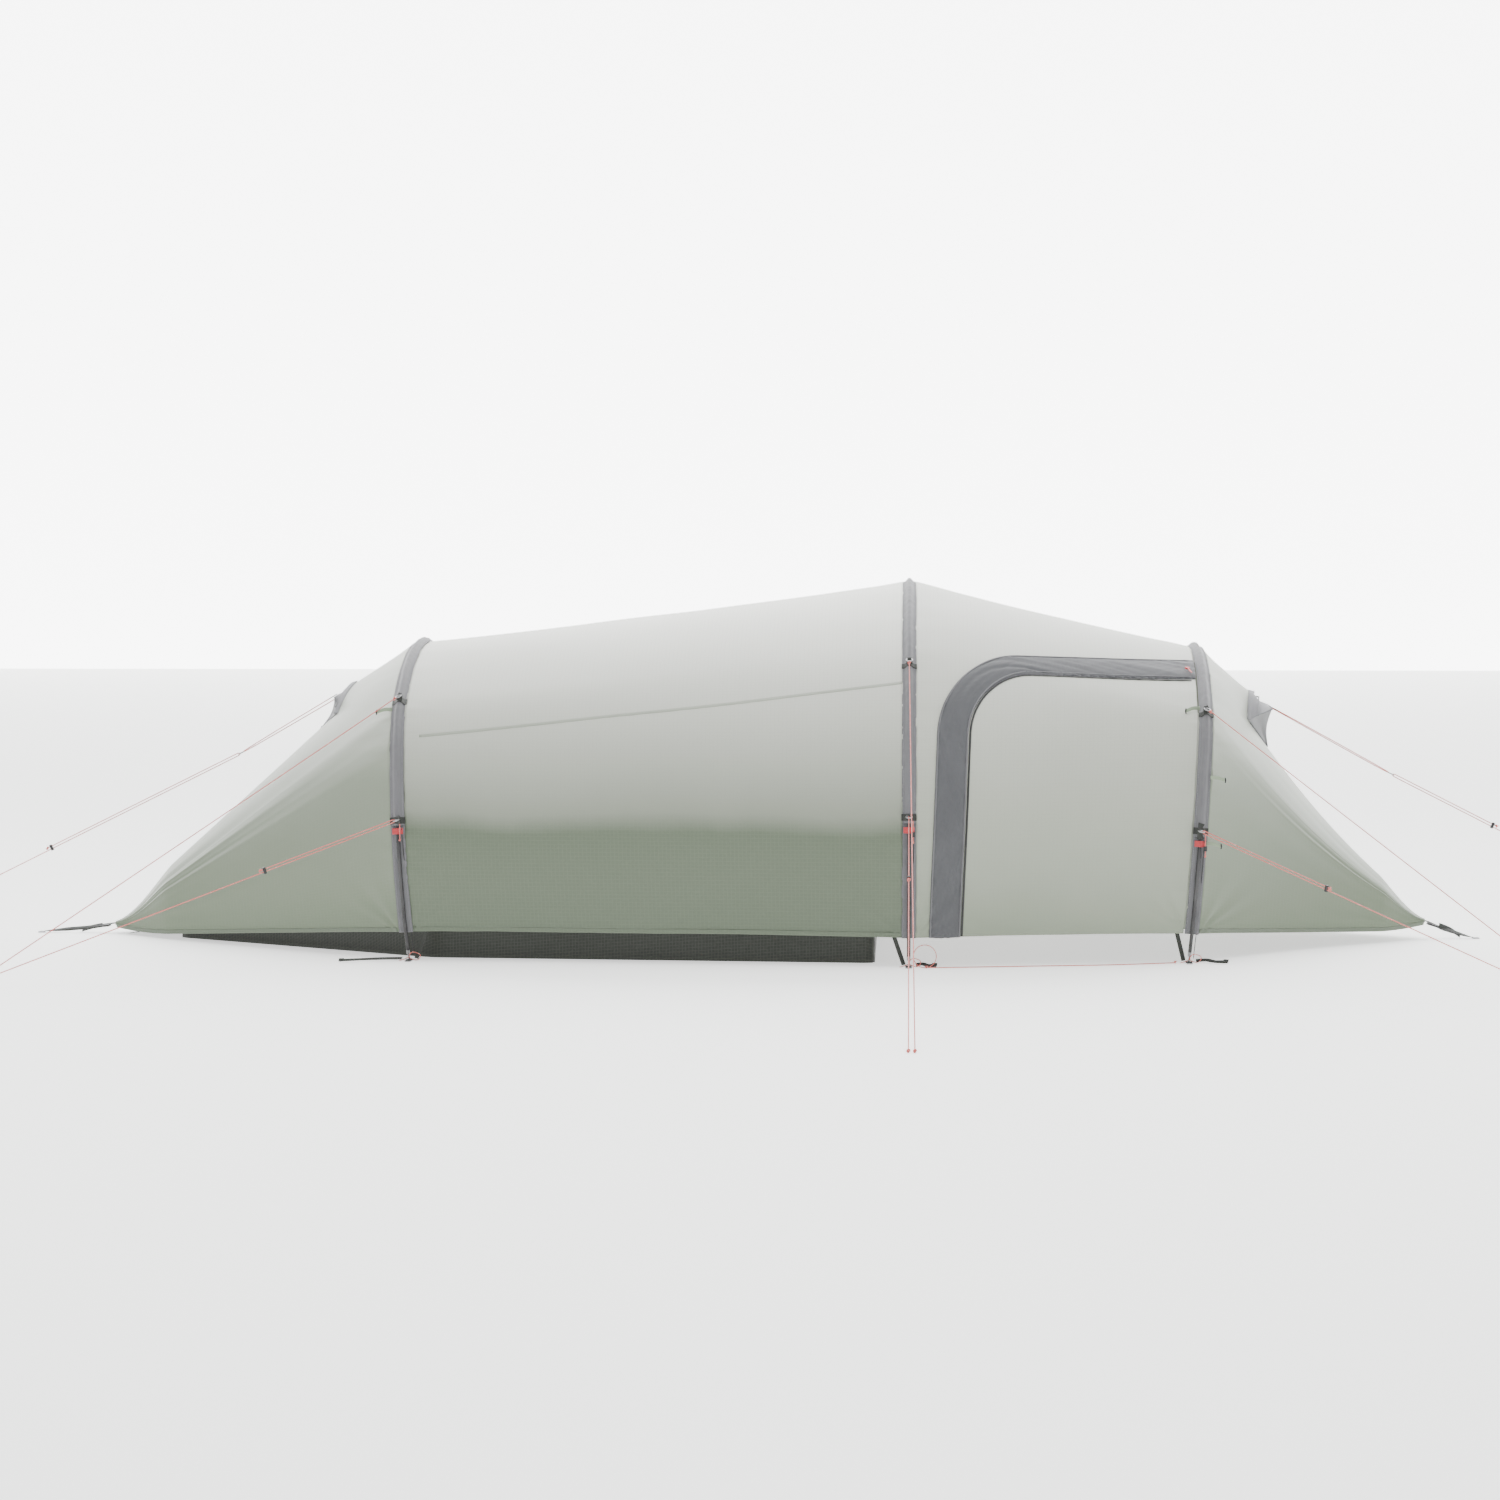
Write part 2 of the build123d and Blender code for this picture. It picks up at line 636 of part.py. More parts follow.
def ring_seat(name, side, level):
    """The centre of the guy ring beside a band, and the way its guy line leaves it."""
    arch = ARCHES[name]
    stand = BAND_LIFT + BAND_THICKNESS + RING_R + RING_WIRE_R + 1
    seat = arch.point(side * (band_angle(name, level) - 1.0 * level), stand)
    peg_x, peg_y = PEGS[name]
    away = (Vector(peg_x, -side * peg_y, CORD_R) - seat).normalized()
    return seat, away


def across_line(away):
    """The direction square to a guy line, as near upright as possible."""
    return (Vector(0, 0, 1) - away * away.Z).normalized()


with BuildPart() as guy_rings:
    for name in NAMES:
        for side in SIDES:
            for level in (0, 1):
                seat, away = ring_seat(name, side, level)
                ring(seat, across_line(away), RING_R, RING_WIRE_R)
    for line in VENT_LINES.values():
        away = (Vector(*line["peg"], CORD_R) - Vector(*line["ring"])).normalized()
        ring(Vector(*line["ring"]), across_line(away), RING_R, RING_WIRE_R)
save(guy_rings, "guy_rings")


# ---------------------------------------------------------------- feet
STRAP_WIDTH = 20
STRAP_THICKNESS = 1.5
FOOT_TAB_Z = 1.0
FOOT_TAB_LENGTH = 46
PEG_RING_R = 6.5
PEG_RING_WALL = 3
HEM_STRAP_DX = {"rear": 62, "middle": -46, "front": -46}
TAIL_TURN = {"rear": (-1, -0.35), "middle": (1, -0.25), "front": (1, -0.35)}
TAIL_LENGTH = {"rear": 190, "middle": 60, "front": 95}


def foot_frame(name, side):
    """A pole foot and the outward direction along the ground."""
    return foot_point(ARCHES[name], side), Vector(0, side, 0)


with BuildPart() as foot_straps:
    for name in NAMES:
        arch = ARCHES[name]
        for side in SIDES:
            foot, out = foot_frame(name, side)
            hem = arch.point(side * arch.angle_at_height(HEM_Z), -FABRIC_INSET - FABRIC - 3)
            hem += Vector(HEM_STRAP_DX[name], 0, 2)
            low = Vector(foot.X, foot.Y, 0) - out * 12 + Vector(HEM_STRAP_DX[name] * 0.32, 0, 4.5)
            bar(low, hem, (1, 0, 0), STRAP_WIDTH * 0.6, STRAP_THICKNESS)
            tail_x, tail_y = TAIL_TURN[name]
            direction = Vector(tail_x, -side * tail_y, 0).normalized()
            start = Vector(foot.X, foot.Y, 0.9) + out * 6 + direction * 22
            bar(start, start + direction * TAIL_LENGTH[name], direction.cross(Vector(0, 0, 1)),
                STRAP_WIDTH * 0.6, STRAP_THICKNESS)
    for side in SIDES:
        corner = Vector(INNER_FOOT_X - 4, side * 112, 40)
        bar(corner, Vector(INNER_FOOT_X - 175, side * 66, 6), (0, 1, 0), 12, STRAP_THICKNESS)
save(foot_straps, "foot_straps")

with BuildPart() as foot_tabs:
    for name in NAMES:
        for side in SIDES:
            foot, out = foot_frame(name, side)
            centre = Vector(foot.X, foot.Y + side * 8, FOOT_TAB_Z + STRAP_THICKNESS / 2)
            with Locations(centre):
                Box(STRAP_WIDTH, FOOT_TAB_LENGTH, STRAP_THICKNESS)
            with Locations(Vector(foot.X, foot.Y, FOOT_TAB_Z)):
                Cylinder(EYELET_R + 0.3, 10, mode=Mode.SUBTRACT)
save(foot_tabs, "foot_tabs")

with BuildPart() as foot_eyelets:
    for name in NAMES:
        for side in SIDES:
            foot, out = foot_frame(name, side)
            with Locations(Vector(foot.X, foot.Y, 0)):
                Cylinder(EYELET_R, 3, align=(Align.CENTER, Align.CENTER, Align.MIN))
            with Locations(Vector(foot.X, foot.Y, FOOT_TAB_Z + STRAP_THICKNESS + 0.2)):
                Cylinder(EYELET_FLANGE_R, 1, align=(Align.CENTER, Align.CENTER, Align.MIN))
            with Locations(Vector(foot.X, foot.Y, 0)):
                Cylinder(EYELET_BORE, 12, mode=Mode.SUBTRACT)
save(foot_eyelets, "foot_eyelets")


def peg_ring_centre(name, side):
    foot, out = foot_frame(name, side)
    reach = 8 + FOOT_TAB_LENGTH / 2 + PEG_RING_R + PEG_RING_WALL + 0.5
    return Vector(foot.X, foot.Y + side * reach, 0)


with BuildPart() as peg_rings:
    for name in NAMES:
        for side in SIDES:
            with Locations(peg_ring_centre(name, side)):
                Cylinder(PEG_RING_R + PEG_RING_WALL, 3, align=(Align.CENTER, Align.CENTER, Align.MIN))
                Cylinder(PEG_RING_R, 12, mode=Mode.SUBTRACT)
save(peg_rings, "peg_rings")


# ---------------------------------------------------------------- straps, ladder locks and rings at both tips
TIP_RING_R = 9
TIP_RING_WALL = 3
TIP_RING_HEIGHT = 4
TIP_STRAP_START = {"rear": (-2066, 26), "front": (2146, 50)}
TIP_STRAP_END = {"rear": (-2290, 5.5), "front": (2290, 5.5)}
LOCK_SIZE = (34, 32, 6)
LOCK_AT = 0.16


def tip_strap_ends(end):
    (x0, z0), (x1, z1) = TIP_STRAP_START[end], TIP_STRAP_END[end]
    return Vector(x0, 0, z0), Vector(x1, 0, z1)


with BuildPart() as tip_straps:
    for end in ("rear", "front"):
        start, finish = tip_strap_ends(end)
        bar(start, finish, (0, 1, 0), STRAP_WIDTH, STRAP_THICKNESS)
save(tip_straps, "tip_straps")

with BuildPart() as ladder_locks:
    for end in ("rear", "front"):
        start, finish = tip_strap_ends(end)
        along = (finish - start).normalized()
        centre = start + (finish - start) * LOCK_AT
        plane = Plane(origin=centre, x_dir=along, z_dir=along.cross(Vector(0, 1, 0)))
        with Locations(plane.location):
            Box(*LOCK_SIZE)
        with Locations(plane.location):
            Box(LOCK_SIZE[0] + 4, STRAP_WIDTH + 2, STRAP_THICKNESS + 1.2, mode=Mode.SUBTRACT)
save(ladder_locks, "ladder_locks")


def tip_ring_x(end):
    return OUTWARD[end] * (TENT_END_X - TIP_RING_R - TIP_RING_WALL)


with BuildPart() as tip_rings:
    for end in ("rear", "front"):
        with Locations(Vector(tip_ring_x(end), 0, 0)):
            Cylinder(TIP_RING_R + TIP_RING_WALL, TIP_RING_HEIGHT, align=(Align.CENTER, Align.CENTER, Align.MIN))
            Cylinder(TIP_RING_R, 20, mode=Mode.SUBTRACT)
save(tip_rings, "tip_rings")


# ---------------------------------------------------------------- toggles and door peg loops
TOGGLES = [            # arch, height, side of the arch along the tent
    ("front", 760, -1), ("front", 365, 1), ("front", 560, 1), ("rear", 755, -1),
]

with BuildPart() as toggles:
    for name, z, way in TOGGLES:
        arch = ARCHES[name]
        for side in SIDES:
            angle = side * arch.angle_at_height(z)
            start = arch.point(angle, 2, way * (SLEEVE_WIDTH / 2 + 2))
            bar(start, start + Vector(way * 44, side * (10 - 14 * way), -8), (0, 0, 1), 12, 2)
save(toggles, "toggles")

LOOP_R = 34
LOOP_WIRE_R = 1.2
LOOP_X = 548

with BuildPart() as door_peg_loops:
    for side in SIDES:
        y = skin_point(LOOP_X, HEM_Z, -FABRIC_INSET).Y + 12
        with Locations(Plane(origin=(LOOP_X, side * y, LOOP_R + LOOP_WIRE_R), z_dir=(0, 1, 0)).location):
            Torus(LOOP_R, LOOP_WIRE_R)
save(door_peg_loops, "door_peg_loops")


# ---------------------------------------------------------------- guy lines and their runners
def corner_radii(points, tight=()):
    """A radius for each corner: as large as its two runs allow, unless the corner is a turn round a ring."""
    radii = []
    for i in range(1, len(points) - 1):
        before, after = points[i] - points[i - 1], points[i + 1] - points[i]
        half_turn = radians(before.get_angle(after) / 2)
        room = 0.45 * min(before.length, after.length) / sin(half_turn) * cos(half_turn)
        radii.append(CORD_TURN_R - 0.05 if i in tight else room)
    return radii


def cord(label, points, tight=()):
    """One cord: a round tube along straight runs and tangent arcs."""
    radii = corner_radii(points, tight)
    print(label, "radii", [round(r, 1) for r in radii])
    with BuildPart() as tube:
        with BuildLine() as route:
            FilletPolyline(*points, radius=radii)
        with BuildSketch(Plane(origin=route.line @ 0, z_dir=route.line % 0)) as section:
            Circle(CORD_R)
        sweep(section.sketch, path=route.line)
    print(label, "length", round(route.wire().length, 1), "volume", round(tube.part.volume, 1),
          "expected", round(route.wire().length * 3.14159 * CORD_R ** 2, 1))
    save(tube, label)


def doubled_line(centre, peg, runner_at):
    """A line that runs from its knot at the runner up round the ring and back through the runner to the peg."""
    peg = Vector(*peg, 0)
    away = (peg - centre).normalized()
    square = across_line(away) * CORD_TURN_R
    bar_point = centre + away * RING_R
    ground = Vector(peg.X, peg.Y, square.Z + CORD_R + 0.7)
    away = (ground - bar_point).normalized()
    square = across_line(away) * CORD_TURN_R
    runner = bar_point + away * (ground - bar_point).length * runner_at
    turn = bar_point - away * CORD_TURN_R
    sideways = away.cross(square).normalized() * 0.6
    return {
        "away": away, "square": square, "runner": runner,
        "points": [runner + away * 13 + square, bar_point + away * 18 + square + sideways, turn + square,
                   turn - square, bar_point + away * 18 - square + sideways, ground - square],
        "tight": (2, 3),
    }


def plain_line(centre, peg):
    """A line knotted to its ring and run straight to the peg."""
    start_away = (Vector(*peg, 0) - centre).normalized()
    start = centre + start_away * (RING_R + RING_WIRE_R + CORD_R + 0.4)
    ground = Vector(peg[0] + 16, peg[1], CORD_R + 0.7)
    away = (ground - start).normalized()
    sag = across_line(away) * -1.5
    length = (ground - start).length
    return [start, start + away * 18 + sag * 0.5, start + away * length * 0.5 + sag, ground]


def runner_block(label, line):
    """A small block with two holes for the doubled line."""
    across = line["square"].normalized()
    plane = Plane(origin=line["runner"], x_dir=line["away"], z_dir=line["away"].cross(across))
    with BuildPart() as runner:
        with Locations(plane.location):
            Box(*RUNNER_SIZE)
            fillet(runner.edges().filter_by(GeomType.LINE), 1.5)
        for way in (-1, 1):
            hole = Plane(origin=line["runner"] + line["square"] * way, z_dir=line["away"])
            with Locations(hole.location):
                Cylinder(CORD_R + 0.9, 30, mode=Mode.SUBTRACT)
    save(runner, label)


NEAR = -1
for name in NAMES:
    cord(f"guy_{name}_upper", plain_line(ring_seat(name, NEAR, 0)[0], PEGS[name]))
    lower = doubled_line(ring_seat(name, NEAR, 1)[0], PEGS[name], RUNNER_AT[name])
    cord(f"guy_{name}_lower", lower["points"], lower["tight"])
    runner_block(f"runner_{name}", lower)
    print(name, "runner slides along", [round(-v, 5) for v in lower["away"]])

HOOD_TAB_Y = 120
for end, line in VENT_LINES.items():
    centre = Vector(*line["ring"])
    main = doubled_line(centre, line["peg"], line["runner_at"])
    cord(f"vent_guy_{end}", main["points"], main["tight"])
    runner_block(f"runner_{end}_vent", main)
    print(end, "vent runner slides along", [round(-v, 5) for v in main["away"]])
    lip = hood_section(end, HOOD[end]["lip"])
    tab_angle = degrees(asin(HOOD_TAB_Y / lip.arc_at(0)[1]))
    away, square = main["away"], main["square"]
    inner_turn = centre - away * (RING_R - CORD_TURN_R)
    tabs = [lip.point(side * tab_angle, 4, OUTWARD[end] * 8) for side in SIDES]
    cord(f"vent_bridle_{end}", [tabs[0], inner_turn + square, inner_turn - square, tabs[1]], (1, 2))

# a thin cord along the ground across the near doorway, from the door loop to the front foot
sill_y = -skin_point(LOOP_X, HEM_Z, -FABRIC_INSET).Y - 12 - CORD_R - LOOP_WIRE_R - 1.5
front_foot = foot_point(ARCHES["front"], NEAR)
SILL = [
    Vector(LOOP_X + 4, sill_y, 2.2), Vector(700, sill_y + 22, 2.2), Vector(900, sill_y + 62, 2.2),
    Vector(1120, sill_y + 96, 2.2), Vector(front_foot.X - 42, front_foot.Y - 26, 2.2),
]
cord("sill_cord", SILL)


# ---------------------------------------------------------------- hanging cord tails and their locks
TAIL_HANG = {"rear": 46, "middle": 62, "front": 62}
TAIL_DX = {"rear": 10, "middle": 12, "front": 12}
CORD_LOCK_R = 6
CORD_LOCK_HEIGHT = 15
CORD_LOCK_DROP = 40


def tail_top(name):
    arch = ARCHES[name]
    top = arch.point(NEAR * (band_angle(name, 1) - 1.0), BAND_LIFT + BAND_THICKNESS + CORD_LOCK_R + 5)
    return top + Vector(TAIL_DX[name], 0, -BAND_LENGTH / 2 - 2)


with BuildPart() as cord_tails:
    for name in NAMES:
        top = tail_top(name)
        with Locations(top - Vector(0, 0, TAIL_HANG[name] / 2)):
            Cylinder(CORD_R, TAIL_HANG[name])
save(cord_tails, "cord_tails")

for name in ("middle", "front"):
    with BuildPart() as cord_lock:
        with Locations(tail_top(name) - Vector(0, 0, CORD_LOCK_DROP)):
            Cylinder(CORD_LOCK_R, CORD_LOCK_HEIGHT)
            fillet(cord_lock.edges(), 1.5)
            Cylinder(CORD_R + 0.5, CORD_LOCK_HEIGHT + 4, mode=Mode.SUBTRACT)
    save(cord_lock, f"cord_lock_{name}")
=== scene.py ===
"""Looks of the three-pole tunnel tent: taut flysheet, sleeves, hoods, webbing, guy lines and inner tent.

Everything is in metres, in the frame's own axes: +X to the porch end, +Y to the far side, +Z up.
"""
import math

import bmesh
import bpy
import numpy as np
from mathutils import Matrix, Vector, noise


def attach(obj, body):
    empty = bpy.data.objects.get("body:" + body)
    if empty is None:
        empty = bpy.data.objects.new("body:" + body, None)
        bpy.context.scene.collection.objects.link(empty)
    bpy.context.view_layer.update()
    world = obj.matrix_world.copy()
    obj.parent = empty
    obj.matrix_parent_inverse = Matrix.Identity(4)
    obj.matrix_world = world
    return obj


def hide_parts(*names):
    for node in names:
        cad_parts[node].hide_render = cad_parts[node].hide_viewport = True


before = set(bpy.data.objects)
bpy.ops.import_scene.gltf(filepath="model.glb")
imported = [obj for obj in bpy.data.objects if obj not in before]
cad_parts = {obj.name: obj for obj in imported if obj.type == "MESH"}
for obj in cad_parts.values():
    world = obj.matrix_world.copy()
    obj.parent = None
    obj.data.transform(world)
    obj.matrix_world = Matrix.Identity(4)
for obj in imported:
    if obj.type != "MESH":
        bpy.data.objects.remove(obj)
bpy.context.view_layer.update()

# ---------------------------------------------------------------- driving dimensions, as on the frame
REAR = {"x": -1.008, "lean": -3.2, "crest": 0.960, "bulge": 0.860, "foot": 0.775, "bulge_z": 0.330}
MIDDLE = {"x": 0.500, "lean": 0.0, "crest": 1.150, "bulge": 0.970, "foot": 0.890, "bulge_z": 0.350}
FRONT = {"x": 1.341, "lean": 4.1, "crest": 0.948, "bulge": 0.810, "foot": 0.740, "bulge_z": 0.330}
SLEEVE_HALF_HEIGHT = 0.0085
SLEEVE_HALF_WIDTH = 0.021
CREST_ANGLE = math.radians(30)
SHOULDER_ANGLE = math.radians(65)
PANEL_INSET = 0.007
PANEL_EDGE = 0.019      # the panels run in under the sleeves to this distance from the arch plane
HEM_Z = 0.090
BAND_Z = {"rear": (0.776, 0.417), "middle": (0.893, 0.437), "front": (0.745, 0.387)}
SEAM_Z = (0.675, 0.843)
DOOR_BACK_X = 0.566
DOOR_TOP_Z = (0.925, 0.889)
DOOR_FRONT_X = 1.420
DOOR_LEAN_X = 0.034
DOOR_LOW_Z = 0.060
DOOR_CORNER_R = 0.230
NAMES = ("rear", "middle", "front")
SIDES = (-1, 1)


# ---------------------------------------------------------------- the arch profile
class Arch:
    """Crest arc, shoulder arcs and side arcs, all tangent, as the poles of the frame."""

    def __init__(self, x, lean, crest, bulge, foot, bulge_z, lift=0.0):
        self.x, self.lean, self.lift = x, math.radians(lean), lift
        self.crest, self.bulge, self.foot, self.bulge_z = crest, bulge, foot, bulge_z
        inward = 2 * math.atan((bulge - foot) / bulge_z)
        side_r = bulge_z / math.sin(inward)
        across = bulge - side_r * (1 - math.sin(SHOULDER_ANGLE))
        down = crest - bulge_z - side_r * math.cos(SHOULDER_ANGLE)
        a, b = math.sin(CREST_ANGLE), math.sin(SHOULDER_ANGLE) - math.sin(CREST_ANGLE)
        c, d = 1 - math.cos(CREST_ANGLE), math.cos(CREST_ANGLE) - math.cos(SHOULDER_ANGLE)
        crest_r = (across * d - b * down) / (a * d - b * c)
        shoulder_r = (a * down - c * across) / (a * d - b * c)
        self.foot_angle = math.pi / 2 + inward
        self.radii = (crest_r, shoulder_r, side_r)
        shift = crest_r - shoulder_r
        self.centres = ((0.0, crest - crest_r),
                        (shift * a, crest - crest_r + shift * math.cos(CREST_ANGLE)),
                        (bulge - side_r, bulge_z))

    def at(self, angle, outward=0.0, shift=0.0):
        """Points at signed angles off the crest, moved outward and along the tent."""
        angle = np.asarray(angle, float)
        size, side = np.abs(angle), np.where(angle < 0, -1.0, 1.0)
        which = [size <= CREST_ANGLE, size <= SHOULDER_ANGLE]
        radius = np.select(which, self.radii[:2], self.radii[2])
        cy = np.select(which, [c[0] for c in self.centres[:2]], self.centres[2][0])
        cz = np.select(which, [c[1] for c in self.centres[:2]], self.centres[2][1])
        y = side * (cy + (radius + outward) * np.sin(size))
        z = cz + (radius + outward) * np.cos(size)
        x = self.x + z * math.sin(self.lean) + shift * math.cos(self.lean)
        up = self.lift + z * math.cos(self.lean) - shift * math.sin(self.lean)
        return np.stack([x + 0 * y, y, up], axis=-1)

    def angle_at(self, z, outward=0.0):
        low, high = 0.0, self.foot_angle
        for _ in range(50):
            mid = (low + high) / 2
            if self.at(mid, outward)[2] - self.lift > z:
                low = mid
            else:
                high = mid
        return low

    def scaled(self, x, scale, lift=0.0):
        sizes = [value * scale for value in (self.crest, self.bulge, self.foot, self.bulge_z)]
        return Arch(x, math.degrees(self.lean), *sizes, lift=lift)

    def length(self, angle):
        """Distance along the arch from the crest."""
        a = min(abs(angle), CREST_ANGLE)
        b = min(max(abs(angle) - CREST_ANGLE, 0), SHOULDER_ANGLE - CREST_ANGLE)
        c = max(abs(angle) - SHOULDER_ANGLE, 0)
        return a * self.radii[0] + b * self.radii[1] + c * self.radii[2]


def pole_line(spec):
    half = SLEEVE_HALF_HEIGHT
    return Arch(spec["x"], spec["lean"], spec["crest"] - half, spec["bulge"] - half,
                spec["foot"] - half, spec["bulge_z"])


ARCHES = {"rear": pole_line(REAR), "middle": pole_line(MIDDLE), "front": pole_line(FRONT)}


# ---------------------------------------------------------------- camera, light and floor
def make_camera():
    data = bpy.data.cameras.new("camera")
    data.lens = 90
    data.sensor_width = 36
    camera = bpy.data.objects.new("camera", data)
    bpy.context.collection.objects.link(camera)
    camera.location = (0.5, -12.0, 1.25)
    look = Vector((-0.01, 0.0, 0.597)) - camera.location
    camera.rotation_euler = look.to_track_quat("-Z", "Y").to_euler()
    bpy.context.scene.camera = camera


SKY_POWER = 690
FILL_POWER = 90
WORLD_STRENGTH = 0.62
FLOOR_GLOW = 1.0
BACKDROP_GLOW = 6.0


def area_light(name, place, target, size, power, colour=(1, 1, 1)):
    data = bpy.data.lights.new(name, "AREA")
    data.shape = "RECTANGLE"
    data.size, data.size_y = size
    data.energy = power
    data.color = colour
    light = bpy.data.objects.new(name, data)
    bpy.context.collection.objects.link(light)
    light.location = place
    light.rotation_euler = (Vector(target) - Vector(place)).to_track_quat("-Z", "Y").to_euler()


def make_light():
    area_light("sky_panel", (0.2, -1.0, 6.5), (0.0, 0.0, 0.0), (9, 8), SKY_POWER)
    area_light("front_fill", (-1.0, -9.0, 4.5), (0, 0, 0.5), (8, 3), FILL_POWER)
    world = bpy.data.worlds.new("studio")
    world.use_nodes = True
    background = world.node_tree.nodes["Background"]
    background.inputs["Color"].default_value = (0.96, 0.98, 1.0, 1)
    background.inputs["Strength"].default_value = WORLD_STRENGTH
    bpy.context.scene.world = world


def make_floor():
    bpy.ops.mesh.primitive_plane_add(size=60, location=(0, 0, -0.0005))
    floor = bpy.context.object
    floor.name = "floor"
    mat = bpy.data.materials.new("pale_floor")
    mat.use_nodes = True
    shader = mat.node_tree.nodes["Principled BSDF"]
    shader.inputs["Base Color"].default_value = (0.86, 0.87, 0.85, 1)
    shader.inputs["Roughness"].default_value = 0.9
    shader.inputs["Specular IOR Level"].default_value = 0.1
    floor.data.materials.append(mat)
    shader.inputs["Emission Color"].default_value = (1, 1, 1, 1)
    shader.inputs["Emission Strength"].default_value = FLOOR_GLOW
    bpy.ops.mesh.primitive_plane_add(size=90, location=(0, 26, 0), rotation=(math.radians(90), 0, 0))
    wall = bpy.context.object
    wall.name = "backdrop"
    glow = bpy.data.materials.new("white_backdrop")
    glow.use_nodes = True
    shader = glow.node_tree.nodes["Principled BSDF"]
    shader.inputs["Base Color"].default_value = (0.9, 0.9, 0.9, 1)
    shader.inputs["Emission Color"].default_value = (1, 1, 1, 1)
    shader.inputs["Emission Strength"].default_value = BACKDROP_GLOW
    wall.data.materials.append(glow)


make_camera()
make_light()
make_floor()


# ---------------------------------------------------------------- materials
class Shader:
    """A Principled material with short helpers for its procedural parts."""

    def __init__(self, name, rough=0.6, sheen=0.0, metallic=0.0, specular=0.5, coat=0.0):
        self.mat = bpy.data.materials.new(name)
        self.mat.use_nodes = True
        self.tree = self.mat.node_tree
        self.bsdf = self.tree.nodes["Principled BSDF"]
        self.bsdf.inputs["Roughness"].default_value = rough
        self.bsdf.inputs["Metallic"].default_value = metallic
        self.bsdf.inputs["Specular IOR Level"].default_value = specular
        self.bsdf.inputs["Sheen Weight"].default_value = sheen
        self.bsdf.inputs["Coat Weight"].default_value = coat

    def node(self, kind, **values):
        made = self.tree.nodes.new(kind)
        for key, value in values.items():
            if hasattr(made, key) and key not in made.inputs:
                setattr(made, key, value)
            else:
                made.inputs[key].default_value = value
        return made

    def link(self, a, b):
        self.tree.links.new(a, b)

    def coords(self, scale, kind="Object"):
        place = self.node("ShaderNodeTexCoord")
        mapping = self.node("ShaderNodeMapping")
        mapping.inputs["Scale"].default_value = scale
        self.link(place.outputs[kind], mapping.inputs["Vector"])
        return mapping.outputs["Vector"]

    def noise(self, scale, detail=3.0, vector=None, stretch=(1, 1, 1), kind="Object"):
        tex = self.node("ShaderNodeTexNoise")
        tex.inputs["Scale"].default_value = scale
        tex.inputs["Detail"].default_value = detail
        self.link(vector or self.coords(stretch, kind), tex.inputs["Vector"])
        return tex.outputs["Fac"]

    def ramp(self, fac, *stops):
        ramp = self.node("ShaderNodeValToRGB")
        while len(ramp.color_ramp.elements) < len(stops):
            ramp.color_ramp.elements.new(0.5)
        for element, (place, colour) in zip(ramp.color_ramp.elements, stops):
            element.position = place
            element.color = (*colour, 1)
        self.link(fac, ramp.inputs["Fac"])
        return ramp.outputs["Color"]

    def mix(self, fac, a, b, blend="MIX"):
        mix = self.node("ShaderNodeMix", data_type="RGBA", blend_type=blend)
        for value, socket in ((fac, mix.inputs[0]), (a, mix.inputs[6]), (b, mix.inputs[7])):
            if isinstance(value, (int, float)):
                socket.default_value = value
            elif isinstance(value, tuple):
                socket.default_value = (*value, 1)
            else:
                self.link(value, socket)
        return mix.outputs[2]

    def math(self, operation, a, b=0.0, clamp=False):
        made = self.node("ShaderNodeMath", operation=operation, use_clamp=clamp)
        for value, socket in ((a, made.inputs[0]), (b, made.inputs[1])):
            if isinstance(value, (int, float)):
                socket.default_value = value
            else:
                self.link(value, socket)
        return made.outputs[0]

    def bump(self, height, strength, distance):
        bump = self.node("ShaderNodeBump")
        bump.inputs["Strength"].default_value = strength
        bump.inputs["Distance"].default_value = distance
        self.link(height, bump.inputs["Height"])
        self.link(bump.outputs["Normal"], self.bsdf.inputs["Normal"])

    def colour(self, socket):
        self.link(socket, self.bsdf.inputs["Base Color"])

    def rough(self, socket):
        self.link(socket, self.bsdf.inputs["Roughness"])

    def weave(self, threads_per_metre, kind="UV"):
        """Height of a plain weave: two sets of threads, from the piece's own flat coordinates in metres."""
        across = self.node("ShaderNodeTexWave", wave_type="BANDS", bands_direction="X")
        along = self.node("ShaderNodeTexWave", wave_type="BANDS", bands_direction="Y")
        for tex in (across, along):
            tex.inputs["Scale"].default_value = threads_per_metre / 20 * math.pi / 3.1416
            tex.inputs["Distortion"].default_value = 0.4
            self.link(self.coords((1, 1, 1), kind), tex.inputs["Vector"])
        return self.math("MULTIPLY", across.outputs["Fac"], along.outputs["Fac"])


